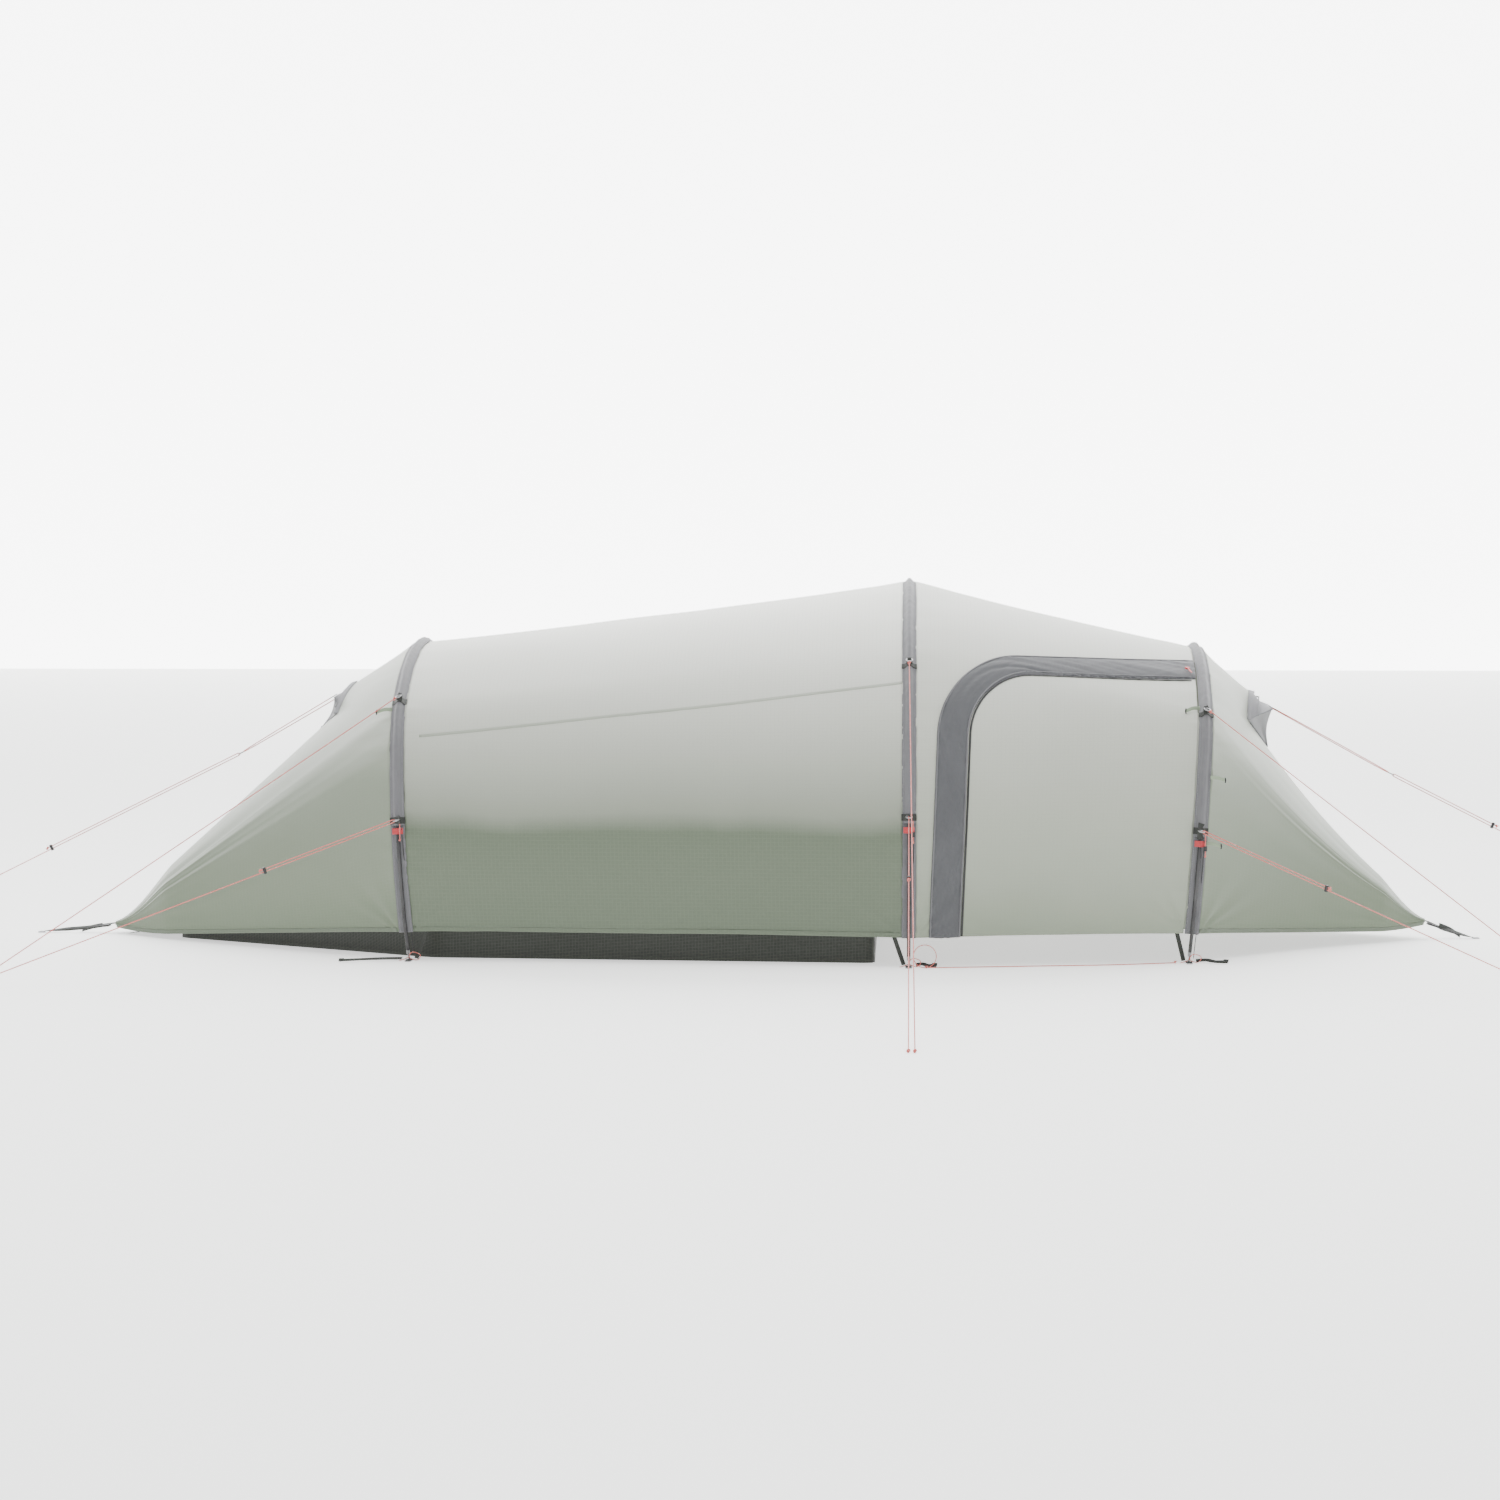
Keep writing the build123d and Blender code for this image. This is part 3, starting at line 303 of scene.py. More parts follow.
def coated_fabric(name, top, low, grid=0.006, rough=0.52, sheen=0.12, green_shade_low=None, step=False):
    """Coated ripstop with a fine square grid; its colour is painted lighter at the top and painted darker and
    greener towards the ground, as painted shade and a painted green reflection.
    """
    s = Shader(name, rough=rough, sheen=sheen, specular=0.35)
    place = s.node("ShaderNodeTexCoord")
    split = s.node("ShaderNodeSeparateXYZ")
    s.link(place.outputs["Object"], split.inputs[0])
    # painted light: the colour follows height, the lit colour at the top and painted shade lower down
    height = s.math("DIVIDE", split.outputs["Z"], 1.15)
    cloud = s.noise(2.2, 4.0)
    fac = s.math("ADD", height, s.math("MULTIPLY", s.math("SUBTRACT", cloud, 0.5), 0.05 if step else 0.16),
                 clamp=True)
    # with step set, a sharp painted shading band low on the wall, darker and greener below, where the cloth
    # turns to face down
    painted_shade_end = (0.345, tuple(0.86 * a + 0.14 * b for a, b in zip(low, green_shade_low))) if step else (0.05, low)
    base = s.ramp(fac, painted_shade_end, (0.395 if step else 0.45, green_shade_low or low), (0.92, top))
    fine = s.noise(160, 2.0)
    base = s.mix(s.math("MULTIPLY", fine, 0.10), base, (0.30, 0.32, 0.27))
    # ripstop threads
    tex = []
    for direction in ("X", "Y"):
        wave = s.node("ShaderNodeTexWave", wave_type="BANDS", bands_direction=direction)
        wave.inputs["Scale"].default_value = 1 / grid / 3.1416 / 2
        s.link(s.coords((1, 1, 1), "UV"), wave.inputs["Vector"])
        tex.append(s.math("POWER", wave.outputs["Fac"], 14.0))
    lines = s.math("MAXIMUM", tex[0], tex[1])
    base = s.mix(s.math("MULTIPLY", lines, 0.10), base, (0.24, 0.26, 0.21))
    s.colour(base)
    s.rough(s.math("ADD", s.math("MULTIPLY", cloud, 0.12), rough - 0.06))
    fibres = s.noise(900, 2.0)
    s.bump(s.math("ADD", s.math("MULTIPLY", lines, 0.6), s.math("MULTIPLY", fibres, 0.4)), 0.25, 0.0004)
    return s.mat


def plain_fabric(name, light, dark, threads=1500, rough=0.75, sheen=0.25):
    """Woven cloth in two close tones with a plain weave."""
    s = Shader(name, rough=rough, sheen=sheen, specular=0.3)
    cloud = s.noise(9, 4.0)
    streak = s.noise(60, 2.0, stretch=(1, 1, 6))
    base = s.mix(s.math("MULTIPLY", cloud, 1.0), dark, light)
    base = s.mix(s.math("MULTIPLY", streak, 0.25), base, dark)
    weave = s.weave(threads)
    base = s.mix(s.math("MULTIPLY", weave, 0.18), base, light)
    s.colour(base)
    s.bump(weave, 0.35, 0.0003)
    return s.mat


def webbing_material(name, light, dark):
    """Flat woven webbing with herringbone ribs along its length."""
    s = Shader(name, rough=0.7, sheen=0.15, specular=0.35)
    wave = s.node("ShaderNodeTexWave", wave_type="BANDS", bands_direction="DIAGONAL")
    wave.inputs["Scale"].default_value = 180
    wave.inputs["Distortion"].default_value = 0.6
    s.link(s.coords((1, 1, 1), "Object"), wave.inputs["Vector"])
    worn = s.noise(40, 4.0)
    s.colour(s.mix(s.math("MULTIPLY", wave.outputs["Fac"], worn), dark, light))
    s.bump(wave.outputs["Fac"], 0.5, 0.0005)
    return s.mat


def cord_material():
    """Braided cord, faded red with paler flecks."""
    s = Shader("guy_cord_braid", rough=0.65, sheen=0.2, specular=0.3)
    wave = s.node("ShaderNodeTexWave", wave_type="BANDS", bands_direction="DIAGONAL")
    wave.inputs["Scale"].default_value = 260
    wave.inputs["Distortion"].default_value = 1.5
    s.link(s.coords((1, 1, 1), "Object"), wave.inputs["Vector"])
    fleck = s.noise(300, 2.0)
    base = s.mix(wave.outputs["Fac"], (0.50, 0.085, 0.07), (0.66, 0.20, 0.17))
    s.colour(s.mix(s.math("GREATER_THAN", fleck, 0.66), base, (0.80, 0.55, 0.50)))
    s.bump(wave.outputs["Fac"], 0.5, 0.0004)
    return s.mat


def moulded(name, colour, rough=0.45, specular=0.4):
    """Moulded plastic with a fine grain and rubbed, paler patches."""
    s = Shader(name, rough=rough, specular=specular)
    cloud = s.noise(60, 4.0)
    pale = tuple(min(1.0, c * 1.8 + 0.01) for c in colour)
    s.colour(s.mix(s.math("MULTIPLY", cloud, 0.5), colour, pale))
    s.rough(s.math("ADD", s.math("MULTIPLY", cloud, 0.25), rough - 0.1))
    s.bump(s.noise(700, 2.0), 0.2, 0.0003)
    return s.mat


def metal(name, colour, rough=0.3):
    """Plated or polished metal with fine scratches."""
    s = Shader(name, rough=rough, metallic=1.0)
    scratch = s.noise(120, 3.0, stretch=(1, 1, 12))
    dull = tuple(c * 0.72 for c in colour)
    s.colour(s.mix(scratch, colour, dull))
    s.rough(s.math("ADD", s.math("MULTIPLY", scratch, 0.22), rough - 0.08))
    s.bump(scratch, 0.12, 0.0002)
    return s.mat


def pole_material():
    """Black anodised tube with long scuffs from the sleeve."""
    s = Shader("pole_black", rough=0.28, metallic=0.3, specular=0.6)
    scuff = s.noise(90, 4.0, stretch=(1, 1, 0.08))
    s.colour(s.mix(s.math("POWER", scuff, 3.0), (0.012, 0.012, 0.013), (0.13, 0.13, 0.13)))
    s.rough(s.math("ADD", s.math("MULTIPLY", scuff, 0.25), 0.18))
    s.bump(s.noise(500, 2.0), 0.08, 0.0002)
    return s.mat


def mesh_fabric(name):
    """Fine black netting."""
    s = Shader(name, rough=0.8, specular=0.2)
    weave = s.weave(900)
    s.colour(s.mix(weave, (0.018, 0.018, 0.018), (0.06, 0.06, 0.058)))
    s.bump(weave, 0.8, 0.0008)
    return s.mat


MAT = {
    # each coated fabric: the lit colour at the top, then the painted shade colour and the painted green
    # reflection colour lower down
    "fly": coated_fabric("fly_ripstop", (0.77, 0.78, 0.715), (0.075, 0.104, 0.062),
                         green_shade_low=(0.225, 0.245, 0.198), step=True),
    "fly_porch": coated_fabric("fly_porch", (0.62, 0.63, 0.575), (0.21, 0.245, 0.18),
                               green_shade_low=(0.385, 0.405, 0.345)),
    "fly_nose": coated_fabric("fly_nose", (0.48, 0.495, 0.44), (0.12, 0.155, 0.096),
                              green_shade_low=(0.19, 0.22, 0.165)),
    "grey": plain_fabric("grey_cloth", (0.15, 0.15, 0.158), (0.115, 0.115, 0.122)),
    "flap": plain_fabric("flap_cloth", (0.094, 0.096, 0.103), (0.064, 0.066, 0.071)),
    "hood": plain_fabric("hood_cloth", (0.30, 0.30, 0.312), (0.22, 0.22, 0.231)),
    "webbing": webbing_material("black_webbing", (0.055, 0.06, 0.052), (0.018, 0.02, 0.017)),
    "red_webbing": webbing_material("red_webbing", (0.62, 0.09, 0.10), (0.38, 0.03, 0.035)),
    "ground": coated_fabric("ground_cloth", (0.03, 0.033, 0.028), (0.016, 0.019, 0.014), grid=0.005,
                            rough=0.45,
                            sheen=0.05),
    "inner": plain_fabric("inner_cloth", (0.66, 0.63, 0.55), (0.56, 0.53, 0.46)),
    "net": mesh_fabric("vent_net"),
    "cord": cord_material(),
    "toggle": plain_fabric("toggle_cloth", (0.30, 0.36, 0.26), (0.20, 0.25, 0.17)),
    "plastic": moulded("black_plastic", (0.016, 0.016, 0.016)),
    "elastic": webbing_material("black_elastic", (0.05, 0.05, 0.05), (0.012, 0.012, 0.012)),
    "steel": metal("ring_steel", (0.42, 0.42, 0.43)),
    "ferrule": metal("ferrule_alloy", (0.62, 0.62, 0.63), 0.25),
    "zip_red": moulded("zip_red", (0.46, 0.05, 0.05), 0.35),
    "pole": pole_material(),
}


# ---------------------------------------------------------------- mesh helpers
def link_mesh(name, vertices, faces, uvs=None):
    """A new object from points and faces; uvs is one flat coordinate per point, in metres."""
    mesh = bpy.data.meshes.new(name)
    mesh.from_pydata([tuple(v) for v in vertices], [], [tuple(int(i) for i in f) for f in faces])
    if uvs is not None:
        layer = mesh.uv_layers.new(name="UVMap")
        index = np.empty(len(mesh.loops), dtype=np.int32)
        mesh.loops.foreach_get("vertex_index", index)
        layer.data.foreach_set("uv", np.asarray(uvs, dtype=np.float32)[index].ravel())
    for polygon in mesh.polygons:
        polygon.use_smooth = True
    mesh.validate()
    obj = bpy.data.objects.new(name, mesh)
    bpy.context.collection.objects.link(obj)
    return obj


def grid_faces(rows, columns, keep=None):
    """Quads of a grid of rows x columns points; keep says which cells stay."""
    r, c = np.meshgrid(np.arange(rows - 1), np.arange(columns - 1), indexing="ij")
    if keep is not None:
        r, c = r[keep], c[keep]
    a = (r * columns + c).ravel()
    return np.stack([a, a + 1, a + columns + 1, a + columns], axis=1)


def grid_object(name, points, uv, keep=None):
    rows, columns = points.shape[:2]
    return link_mesh(name, points.reshape(-1, 3), grid_faces(rows, columns, keep), uv.reshape(-1, 2))


def solidify(obj, thickness, offset=-1.0, even=True):
    mod = obj.modifiers.new("cloth", "SOLIDIFY")
    mod.thickness = thickness
    mod.offset = offset
    mod.use_even_offset = even


def bake(obj):
    """Applies the piece's modifiers to its mesh."""
    graph = bpy.context.evaluated_depsgraph_get()
    mesh = bpy.data.meshes.new_from_object(obj.evaluated_get(graph))
    obj.modifiers.clear()
    obj.data = mesh
    for polygon in mesh.polygons:
        polygon.use_smooth = True


def finish_piece(obj, mat, body, slot, *nodes):
    obj.data.materials.clear()
    obj.data.materials.append(mat)
    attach(obj, body)
    if nodes:
        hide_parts(*nodes)


def tube(name, points, radius, order=3, resolution=8):
    """A round cord along one smooth curve."""
    data = bpy.data.curves.new(name, "CURVE")
    data.dimensions = "3D"
    spline = data.splines.new("NURBS")
    spline.points.add(len(points) - 1)
    for point, place in zip(spline.points, points):
        point.co = (*place, 1)
    spline.order_u = min(order, len(points))
    spline.use_endpoint_u = True
    spline.resolution_u = resolution
    data.bevel_depth = radius
    data.bevel_resolution = 3
    data.use_fill_caps = True
    obj = bpy.data.objects.new(name, data)
    bpy.context.collection.objects.link(obj)
    return obj


# ---------------------------------------------------------------- relief of taut cloth
def fan(x, s, centre, aim, spread, folds, reach, height, phase=0.0):
    """Folds that radiate from a point where the cloth is pulled, over a spread about the aim, in radians."""
    dx, ds = x - centre[0], s - centre[1]
    r = np.hypot(dx, ds)
    turn = (np.arctan2(ds, dx) - aim + math.pi) % (2 * math.pi) - math.pi
    inside = np.clip(1 - (np.abs(turn) / spread) ** 2, 0, 1)
    wave = np.cos(folds * turn / spread * math.pi + phase + 1.3 * np.sin(3 * turn + phase))
    ridge = np.sign(wave) * np.abs(wave) ** 1.4
    fade = np.exp(-(r / reach) ** 1.3) * np.clip(r / 0.035, 0, 1)
    return height * ridge * inside * fade


def ripple(a, b, scale_a, scale_b, seed):
    """Smooth noise in two directions, about -1 to 1, the same on every run."""
    out = np.empty(a.shape)
    flat_a, flat_b, flat = a.ravel() / scale_a, b.ravel() / scale_b, out.ravel()
    for i in range(flat.size):
        flat[i] = noise.noise(Vector((flat_a[i], flat_b[i], seed * 7.13)))
    return out * 1.6


class Panel:
    """Straight cloth from one arch to another, over w from -3 (near hem) to 3 (far hem) and u from 0 to 1."""

    def __init__(self, arch_a, shift_a, arch_b, shift_b, hems=(HEM_Z, HEM_Z), outward=-PANEL_INSET,
                 relief=None,
                 ease=None):
        self.ends = ((arch_a, shift_a), (arch_b, shift_b))
        self.outward = outward
        self.stops = [arch.angle_at(hem, outward) for (arch, _), hem in zip(self.ends, hems)]
        self.relief = relief
        self.ease = ease

    def angles(self, end, w):
        size = np.abs(w)
        stop = self.stops[end]
        knots = ([0, 1, 2, 3], [0, CREST_ANGLE, SHOULDER_ANGLE, stop])
        return np.sign(w) * np.interp(size, *knots)

    def from_hem(self, end, w):
        """Distance along the arch from the nearer hem."""
        arch = self.ends[end][0]
        total = arch.length(self.stops[end])
        knots = [0, arch.length(CREST_ANGLE), arch.length(SHOULDER_ANGLE), total]
        return total - np.interp(np.abs(w), [0, 1, 2, 3], knots)

    def raw(self, u, w):
        (arch_a, shift_a), (arch_b, shift_b) = self.ends
        a = arch_a.at(self.angles(0, w), self.outward, shift_a)
        b = arch_b.at(self.angles(1, w), self.outward, shift_b)
        point = a + (b - a) * u[..., None]
        if self.ease is not None:
            point = point + self.ease(u, w, point)
        return point

    def normal(self, u, w):
        step = 1e-3
        du = self.raw(u + step, w) - self.raw(u - step, w)
        dw = self.raw(u, w + step) - self.raw(u, w - step)
        n = np.cross(du, dw)
        n /= np.linalg.norm(n, axis=-1, keepdims=True) + 1e-12
        return n

    def at(self, u, w, lift=0.0):
        point, normal = self.raw(u, w), self.normal(u, w)
        rise = lift
        if self.relief is not None:
            s = self.from_hem(0, w) * (1 - u) + self.from_hem(1, w) * u
            rise = rise + self.relief(u, w, point, s)
        return point + normal * (rise if np.isscalar(rise) else rise[..., None])

    def solve(self, x, z, side):
        """u and w of the places on one side with the given x and z."""
        u = np.clip((x - self.raw(np.zeros_like(x), side * 2.0 + 0 * x)[..., 0])
                    / (self.raw(np.ones_like(x), side * 2.0 + 0 * x)[..., 0]
                       - self.raw(np.zeros_like(x), side * 2.0 + 0 * x)[..., 0]), 0, 1)
        for _ in range(6):
            low, high = np.zeros_like(x), np.full_like(x, 3.0)
            for _ in range(26):
                mid = (low + high) / 2
                above = self.raw(u, side * mid)[..., 2] > z
                low, high = np.where(above, mid, low), np.where(above, high, mid)
            w = side * (low + high) / 2
            start, finish = self.raw(0 * u, w)[..., 0], self.raw(0 * u + 1, w)[..., 0]
            u = (x - start) / (finish - start)
        return u, w

    def grid(self, columns, counts):
        """u, w and flat coordinates of a grid; counts are the rows over crest half, shoulder and side."""
        half = np.concatenate([np.linspace(0, 1, counts[0], endpoint=False),
                               np.linspace(1, 2, counts[1], endpoint=False), np.linspace(2, 3, counts[2])])
        w = np.concatenate([-half[::-1], half[1:]])
        u = np.linspace(0, 1, columns)
        w, u = np.meshgrid(w, u, indexing="ij")
        s = self.from_hem(0, w) * (1 - u) + self.from_hem(1, w) * u
        return u, w, s


# ---------------------------------------------------------------- guy lines: the first pieces made
CORD_R = 0.0015
RING_R = 0.009
RING_WIRE_R = 0.002
CORD_TURN_R = 0.004
BAND_LIFT = SLEEVE_HALF_HEIGHT + 0.0003
BAND_THICKNESS = 0.0015
PEGS = {"rear": (-2.178, -1.555), "middle": (0.500, -2.780), "front": (2.334, -1.870)}
RUNNER_AT = {"rear": 0.31, "middle": 0.30, "front": 0.34}
VENT_LINES = {
    "rear": {"ring": (-1.653, 0, 0.584), "peg": (-2.816, 0), "runner_at": 0.53},
    "front": {"ring": (2.034, 0, 0.526), "peg": (3.056, 0), "runner_at": 0.31},
}


def unit(v):
    return v / np.linalg.norm(v)


def band_angle(name, level):
    return ARCHES[name].angle_at(BAND_Z[name][level]) - math.radians(1.0 * level)


def ring_seat(name, side, level):
    stand = BAND_LIFT + BAND_THICKNESS + RING_R + RING_WIRE_R + 0.001
    return ARCHES[name].at(side * band_angle(name, level), stand)


def across_line(away):
    return unit(np.array([0, 0, 1.0]) - away * away[2])


def doubled_line(centre, peg, runner_at):
    """From the knot at the runner up round the ring, back through the runner and down to the peg."""
    centre, peg = np.array(centre), np.array([*peg, 0.0])
    away = unit(peg - centre)
    square = across_line(away) * CORD_TURN_R
    bar_point = centre + away * RING_R
    ground = np.array([peg[0], peg[1], square[2] + CORD_R + 0.0007])
    away = unit(ground - bar_point)
    square = across_line(away) * CORD_TURN_R
    runner = bar_point + away * np.linalg.norm(ground - bar_point) * runner_at
    turn = bar_point - away * CORD_TURN_R
    sideways = unit(np.cross(away, square)) * 0.0006
    points = [runner + away * 0.013 + square, bar_point + away * 0.018 + square + sideways, turn + square,
              turn - square, bar_point + away * 0.018 - square + sideways, ground - square]
    return points, away, square, runner


def plain_line(centre, peg):
    away = unit(np.array([*peg, 0.0]) - centre)
    start = centre + away * (RING_R + RING_WIRE_R + CORD_R + 0.0004)
    ground = np.array([peg[0] + 0.016, peg[1], CORD_R + 0.0007])
    away = unit(ground - start)
    sag = across_line(away) * -0.0015
    length = np.linalg.norm(ground - start)
    return [start, start + away * 0.018 + sag * 0.5, start + away * length * 0.5 + sag, ground]


def knot(name, place, along, size):
    """A small overhand knot: a short tube wound once round the line."""
    along = Vector(along).normalized()
    side = along.orthogonal().normalized()
    up = along.cross(side)
    turns = []
    for i in range(15):
        t = i / 14
        turn = t * 2.4 * math.pi
        ring = size * (0.62 + 0.18 * math.sin(t * math.pi))
        turns.append(Vector(place) + along * (t - 0.5) * size * 1.9
                     + side * ring * math.cos(turn) + up * ring * math.sin(turn))
    obj = tube(name, turns, size * 0.52, resolution=3)
    return obj


def free_cord(name, node, points, radius=CORD_R):
    obj = tube(name, points, radius, resolution=12)
    finish_piece(obj, MAT["cord"], "tent", "guy_cord", node)
    return obj


NEAR = -1
LINES = {}
for name in NAMES:
    label = f"guy_{name}_upper"
    points = plain_line(ring_seat(name, NEAR, 0), PEGS[name])
    top = knot(f"knot_{name}_upper", points[0] + unit(points[1] - points[0]) * 0.004, points[1] - points[0],
               0.0042)
    finish_piece(top, MAT["cord"], "tent", "guy_cord")
    low = knot(f"peg_knot_{name}_upper", points[-1] + np.array([0, 0, 0.0028]), points[-1] - points[-2],
               0.0042)
    finish_piece(low, MAT["cord"], "tent", "guy_cord")
    free_cord(f"line_{name}_upper", label, points)
    label = f"guy_{name}_lower"
    points, away, square, runner = doubled_line(ring_seat(name, NEAR, 1), PEGS[name], RUNNER_AT[name])
    LINES[name] = (away, square, runner)
    top = knot(f"knot_{name}_runner", points[0], away, 0.0042)
    finish_piece(top, MAT["cord"], "tent", "guy_cord")
    low = knot(f"peg_knot_{name}_lower", points[-1] + np.array([0, 0, 0.0028]), away, 0.0042)
    finish_piece(low, MAT["cord"], "tent", "guy_cord")
    free_cord(f"line_{name}_lower", label, points)

OUTWARD = {"rear": -1, "front": 1}
NOSE_STATIONS = {
    "rear": ((-2.060, 0.06, 0.0),),
    "front": ((1.604, 0.635, 0.010), (2.140, 0.06, 0.030)),
}
# vent hoods: rim centre, lip centre, the lower point on the ridge, and the near corner of the rim
HOOD = {
    "rear": {"top": (-1.280, 0.810), "lip": (-1.327, 0.776), "bottom": (-1.390, 0.640),
             "corner": (-1.300, 0.160, 0.701)},
    "front": {"top": (1.588, 0.784), "lip": (1.640, 0.746), "bottom": (1.640, 0.606),
              "corner": (1.554, 0.160, 0.698)},
}
HOOD_TAB_Y = 0.120


def nose_section(end, x):
    """The pointed end's profile at one place, straight between its stations."""
    stations = ((ARCHES[end].x, 1.0, 0.0), *NOSE_STATIONS[end])
    order = stations if end == "front" else stations[::-1]
    xs, scales, lifts = zip(*order)
    return ARCHES[end].scaled(x, float(np.interp(x, xs, scales)), float(np.interp(x, xs, lifts)))


def hood_section(end, spot):
    section = nose_section(end, spot[0])
    foot_x = spot[0] - section.crest * math.sin(section.lean)
    return Arch(foot_x, math.degrees(section.lean), section.crest, section.bulge, section.foot,
                section.bulge_z,
                lift=spot[1] - section.crest * math.cos(section.lean))


def hood_tabs(end):
    """The two places on a hood's lip where its bridle is tied, near and far."""
    lip = hood_section(end, HOOD[end]["lip"])
    angle = math.asin(HOOD_TAB_Y / lip.radii[0])
    return [lip.at(side * angle, 0.004, OUTWARD[end] * 0.008) for side in SIDES]


for end, line in VENT_LINES.items():
    centre = np.array(line["ring"])
    label = f"vent_guy_{end}"
    points, away, square, runner = doubled_line(centre, line["peg"], line["runner_at"])
    LINES[end + "_vent"] = (away, square, runner)
    top = knot(f"knot_{end}_vent", points[0], away, 0.0042)
    finish_piece(top, MAT["cord"], "tent", "guy_cord")
    low = knot(f"peg_knot_{end}_vent", points[-1] + np.array([0, 0, 0.0028]), away, 0.0042)
    finish_piece(low, MAT["cord"], "tent", "guy_cord")
    free_cord(f"line_{end}_vent", label, points)
    label = f"vent_bridle_{end}"
    inner_turn = centre - away * (RING_R - CORD_TURN_R)
    tabs = hood_tabs(end)
    free_cord(f"bridle_{end}", label, [tabs[0], inner_turn + square, inner_turn - square, tabs[1]])



# ---------------------------------------------------------------- cutting panels in flat coordinates
def domain_grid(panel, columns, counts, side=None):
    u, w, _ = panel.grid(columns, counts)
    faces = grid_faces(*u.shape)
    domain = np.stack([u.ravel(), w.ravel()], axis=1)
    if side is not None:
        keep = (domain[faces][:, :, 1] * side > -1e-9).all(axis=1)
        faces = faces[keep]
    return domain, [list(face) for face in faces.tolist()]


def clip(domain, faces, field):
    """Cuts faces to where field(u, w) is positive; the new edge points lie on its zero line."""
    values = field(domain[:, 0], domain[:, 1])
    values = np.where(np.abs(values) < 2e-4, 1e-9, values)
    points = [tuple(p) for p in domain.tolist()]
    kept, made = [], {}

    def crossing(a, b):
        key = (min(a, b), max(a, b))
        if key not in made:
            t = values[a] / (values[a] - values[b])
            made[key] = len(points)
            points.append(tuple(domain[a] + (domain[b] - domain[a]) * t))
        return made[key]

    for face in faces:
        inside = [values[i] > 0 for i in face]
        if all(inside):
            kept.append(face)
        elif any(inside):
            cut = []
            for k, a in enumerate(face):
                b = face[(k + 1) % len(face)]
                if values[a] > 0:
                    cut.append(a)
                if (values[a] > 0) != (values[b] > 0):
                    cut.append(crossing(a, b))
            if len(cut) >= 3:
                kept.append(cut)
    return np.array(points), kept


def compact(domain, faces):
    used = sorted({i for face in faces for i in face})
    index = {old: new for new, old in enumerate(used)}
    return domain[used], [[index[i] for i in face] for face in faces]


def cloth(name, panel, domain, faces, thickness=0.0012, lift=0.0, inward=-1.0):
    """A piece of the panel as thin cloth, with its flat coordinates in metres."""
    domain, faces = compact(domain, faces)
    u, w = domain[:, 0], domain[:, 1]
    s = panel.from_hem(0, w) * (1 - u) + panel.from_hem(1, w) * u
    uv = np.stack([u * panel.span, s * np.sign(w)], axis=1)
    obj = link_mesh(name, panel.at(u, w, lift), faces, uv)
    solidify(obj, thickness, inward)
    bake(obj)
    return obj


def outward_sign(panel):
    """1 where the panel's own normals point out of the tent, otherwise -1."""
    normal = panel.normal(np.array([0.5]), np.array([0.0]))
    return 1.0 if normal[0, 2] > 0 else -1.0


# ---------------------------------------------------------------- relief of each panel
def panel_relief(span, seed, sag=0.008, fold=0.0042, hem=True):
    def relief(u, w, point, s):
        a, b = u * span, (1 - u) * span
        out = -sag * 4 * u * (1 - u)
        for near_edge, turn in ((a, 1.0), (b, 1.7)):
            out = out + 0.0015 * ripple(s * np.sign(w), near_edge, 0.017, 0.10,
                                        seed + turn) * np.exp(-near_edge / 0.035)
            out = out + 0.0016 * ripple(s * np.sign(w), near_edge, 0.050, 0.20,
                                        seed + 2 * turn) * np.exp(-near_edge / 0.09)
            out = out + fan(near_edge, s, (0, 0), math.radians(58), math.radians(40), 3.0, 0.115, fold,
                            seed + turn)
        out = out + 0.0026 * ripple(a, s * np.sign(w), 0.42, 0.30, seed + 5)
        out = out + 0.0016 * ripple(a, s * np.sign(w), 0.10, 0.045, seed + 6) * np.exp(-s / 0.05)
        if hem:
            out = out + 0.0007 * (s < 0.018)
        return out
    return relief


class ClothPanel(Panel):
    """A panel between two arches whose relief always rises out of the tent."""

    def __init__(self, first, second, seed, outward=-PANEL_INSET, edge=PANEL_EDGE, **relief):
        super().__init__(ARCHES[first], edge, ARCHES[second], -edge, outward=outward)
        self.span = ARCHES[second].x - ARCHES[first].x - 2 * edge
        self.relief = panel_relief(self.span, seed, **relief)
        self.flip = outward_sign(self)

    def at(self, u, w, lift=0.0):
        point, normal = self.raw(u, w), self.normal(u, w) * self.flip
        s = self.from_hem(0, w) * (1 - u) + self.from_hem(1, w) * u
        rise = lift + self.relief(u, w, point, s)
        return point + normal * rise[..., None]


NOSE_TIP_Z = {"rear": 0.034, "front": 0.058}


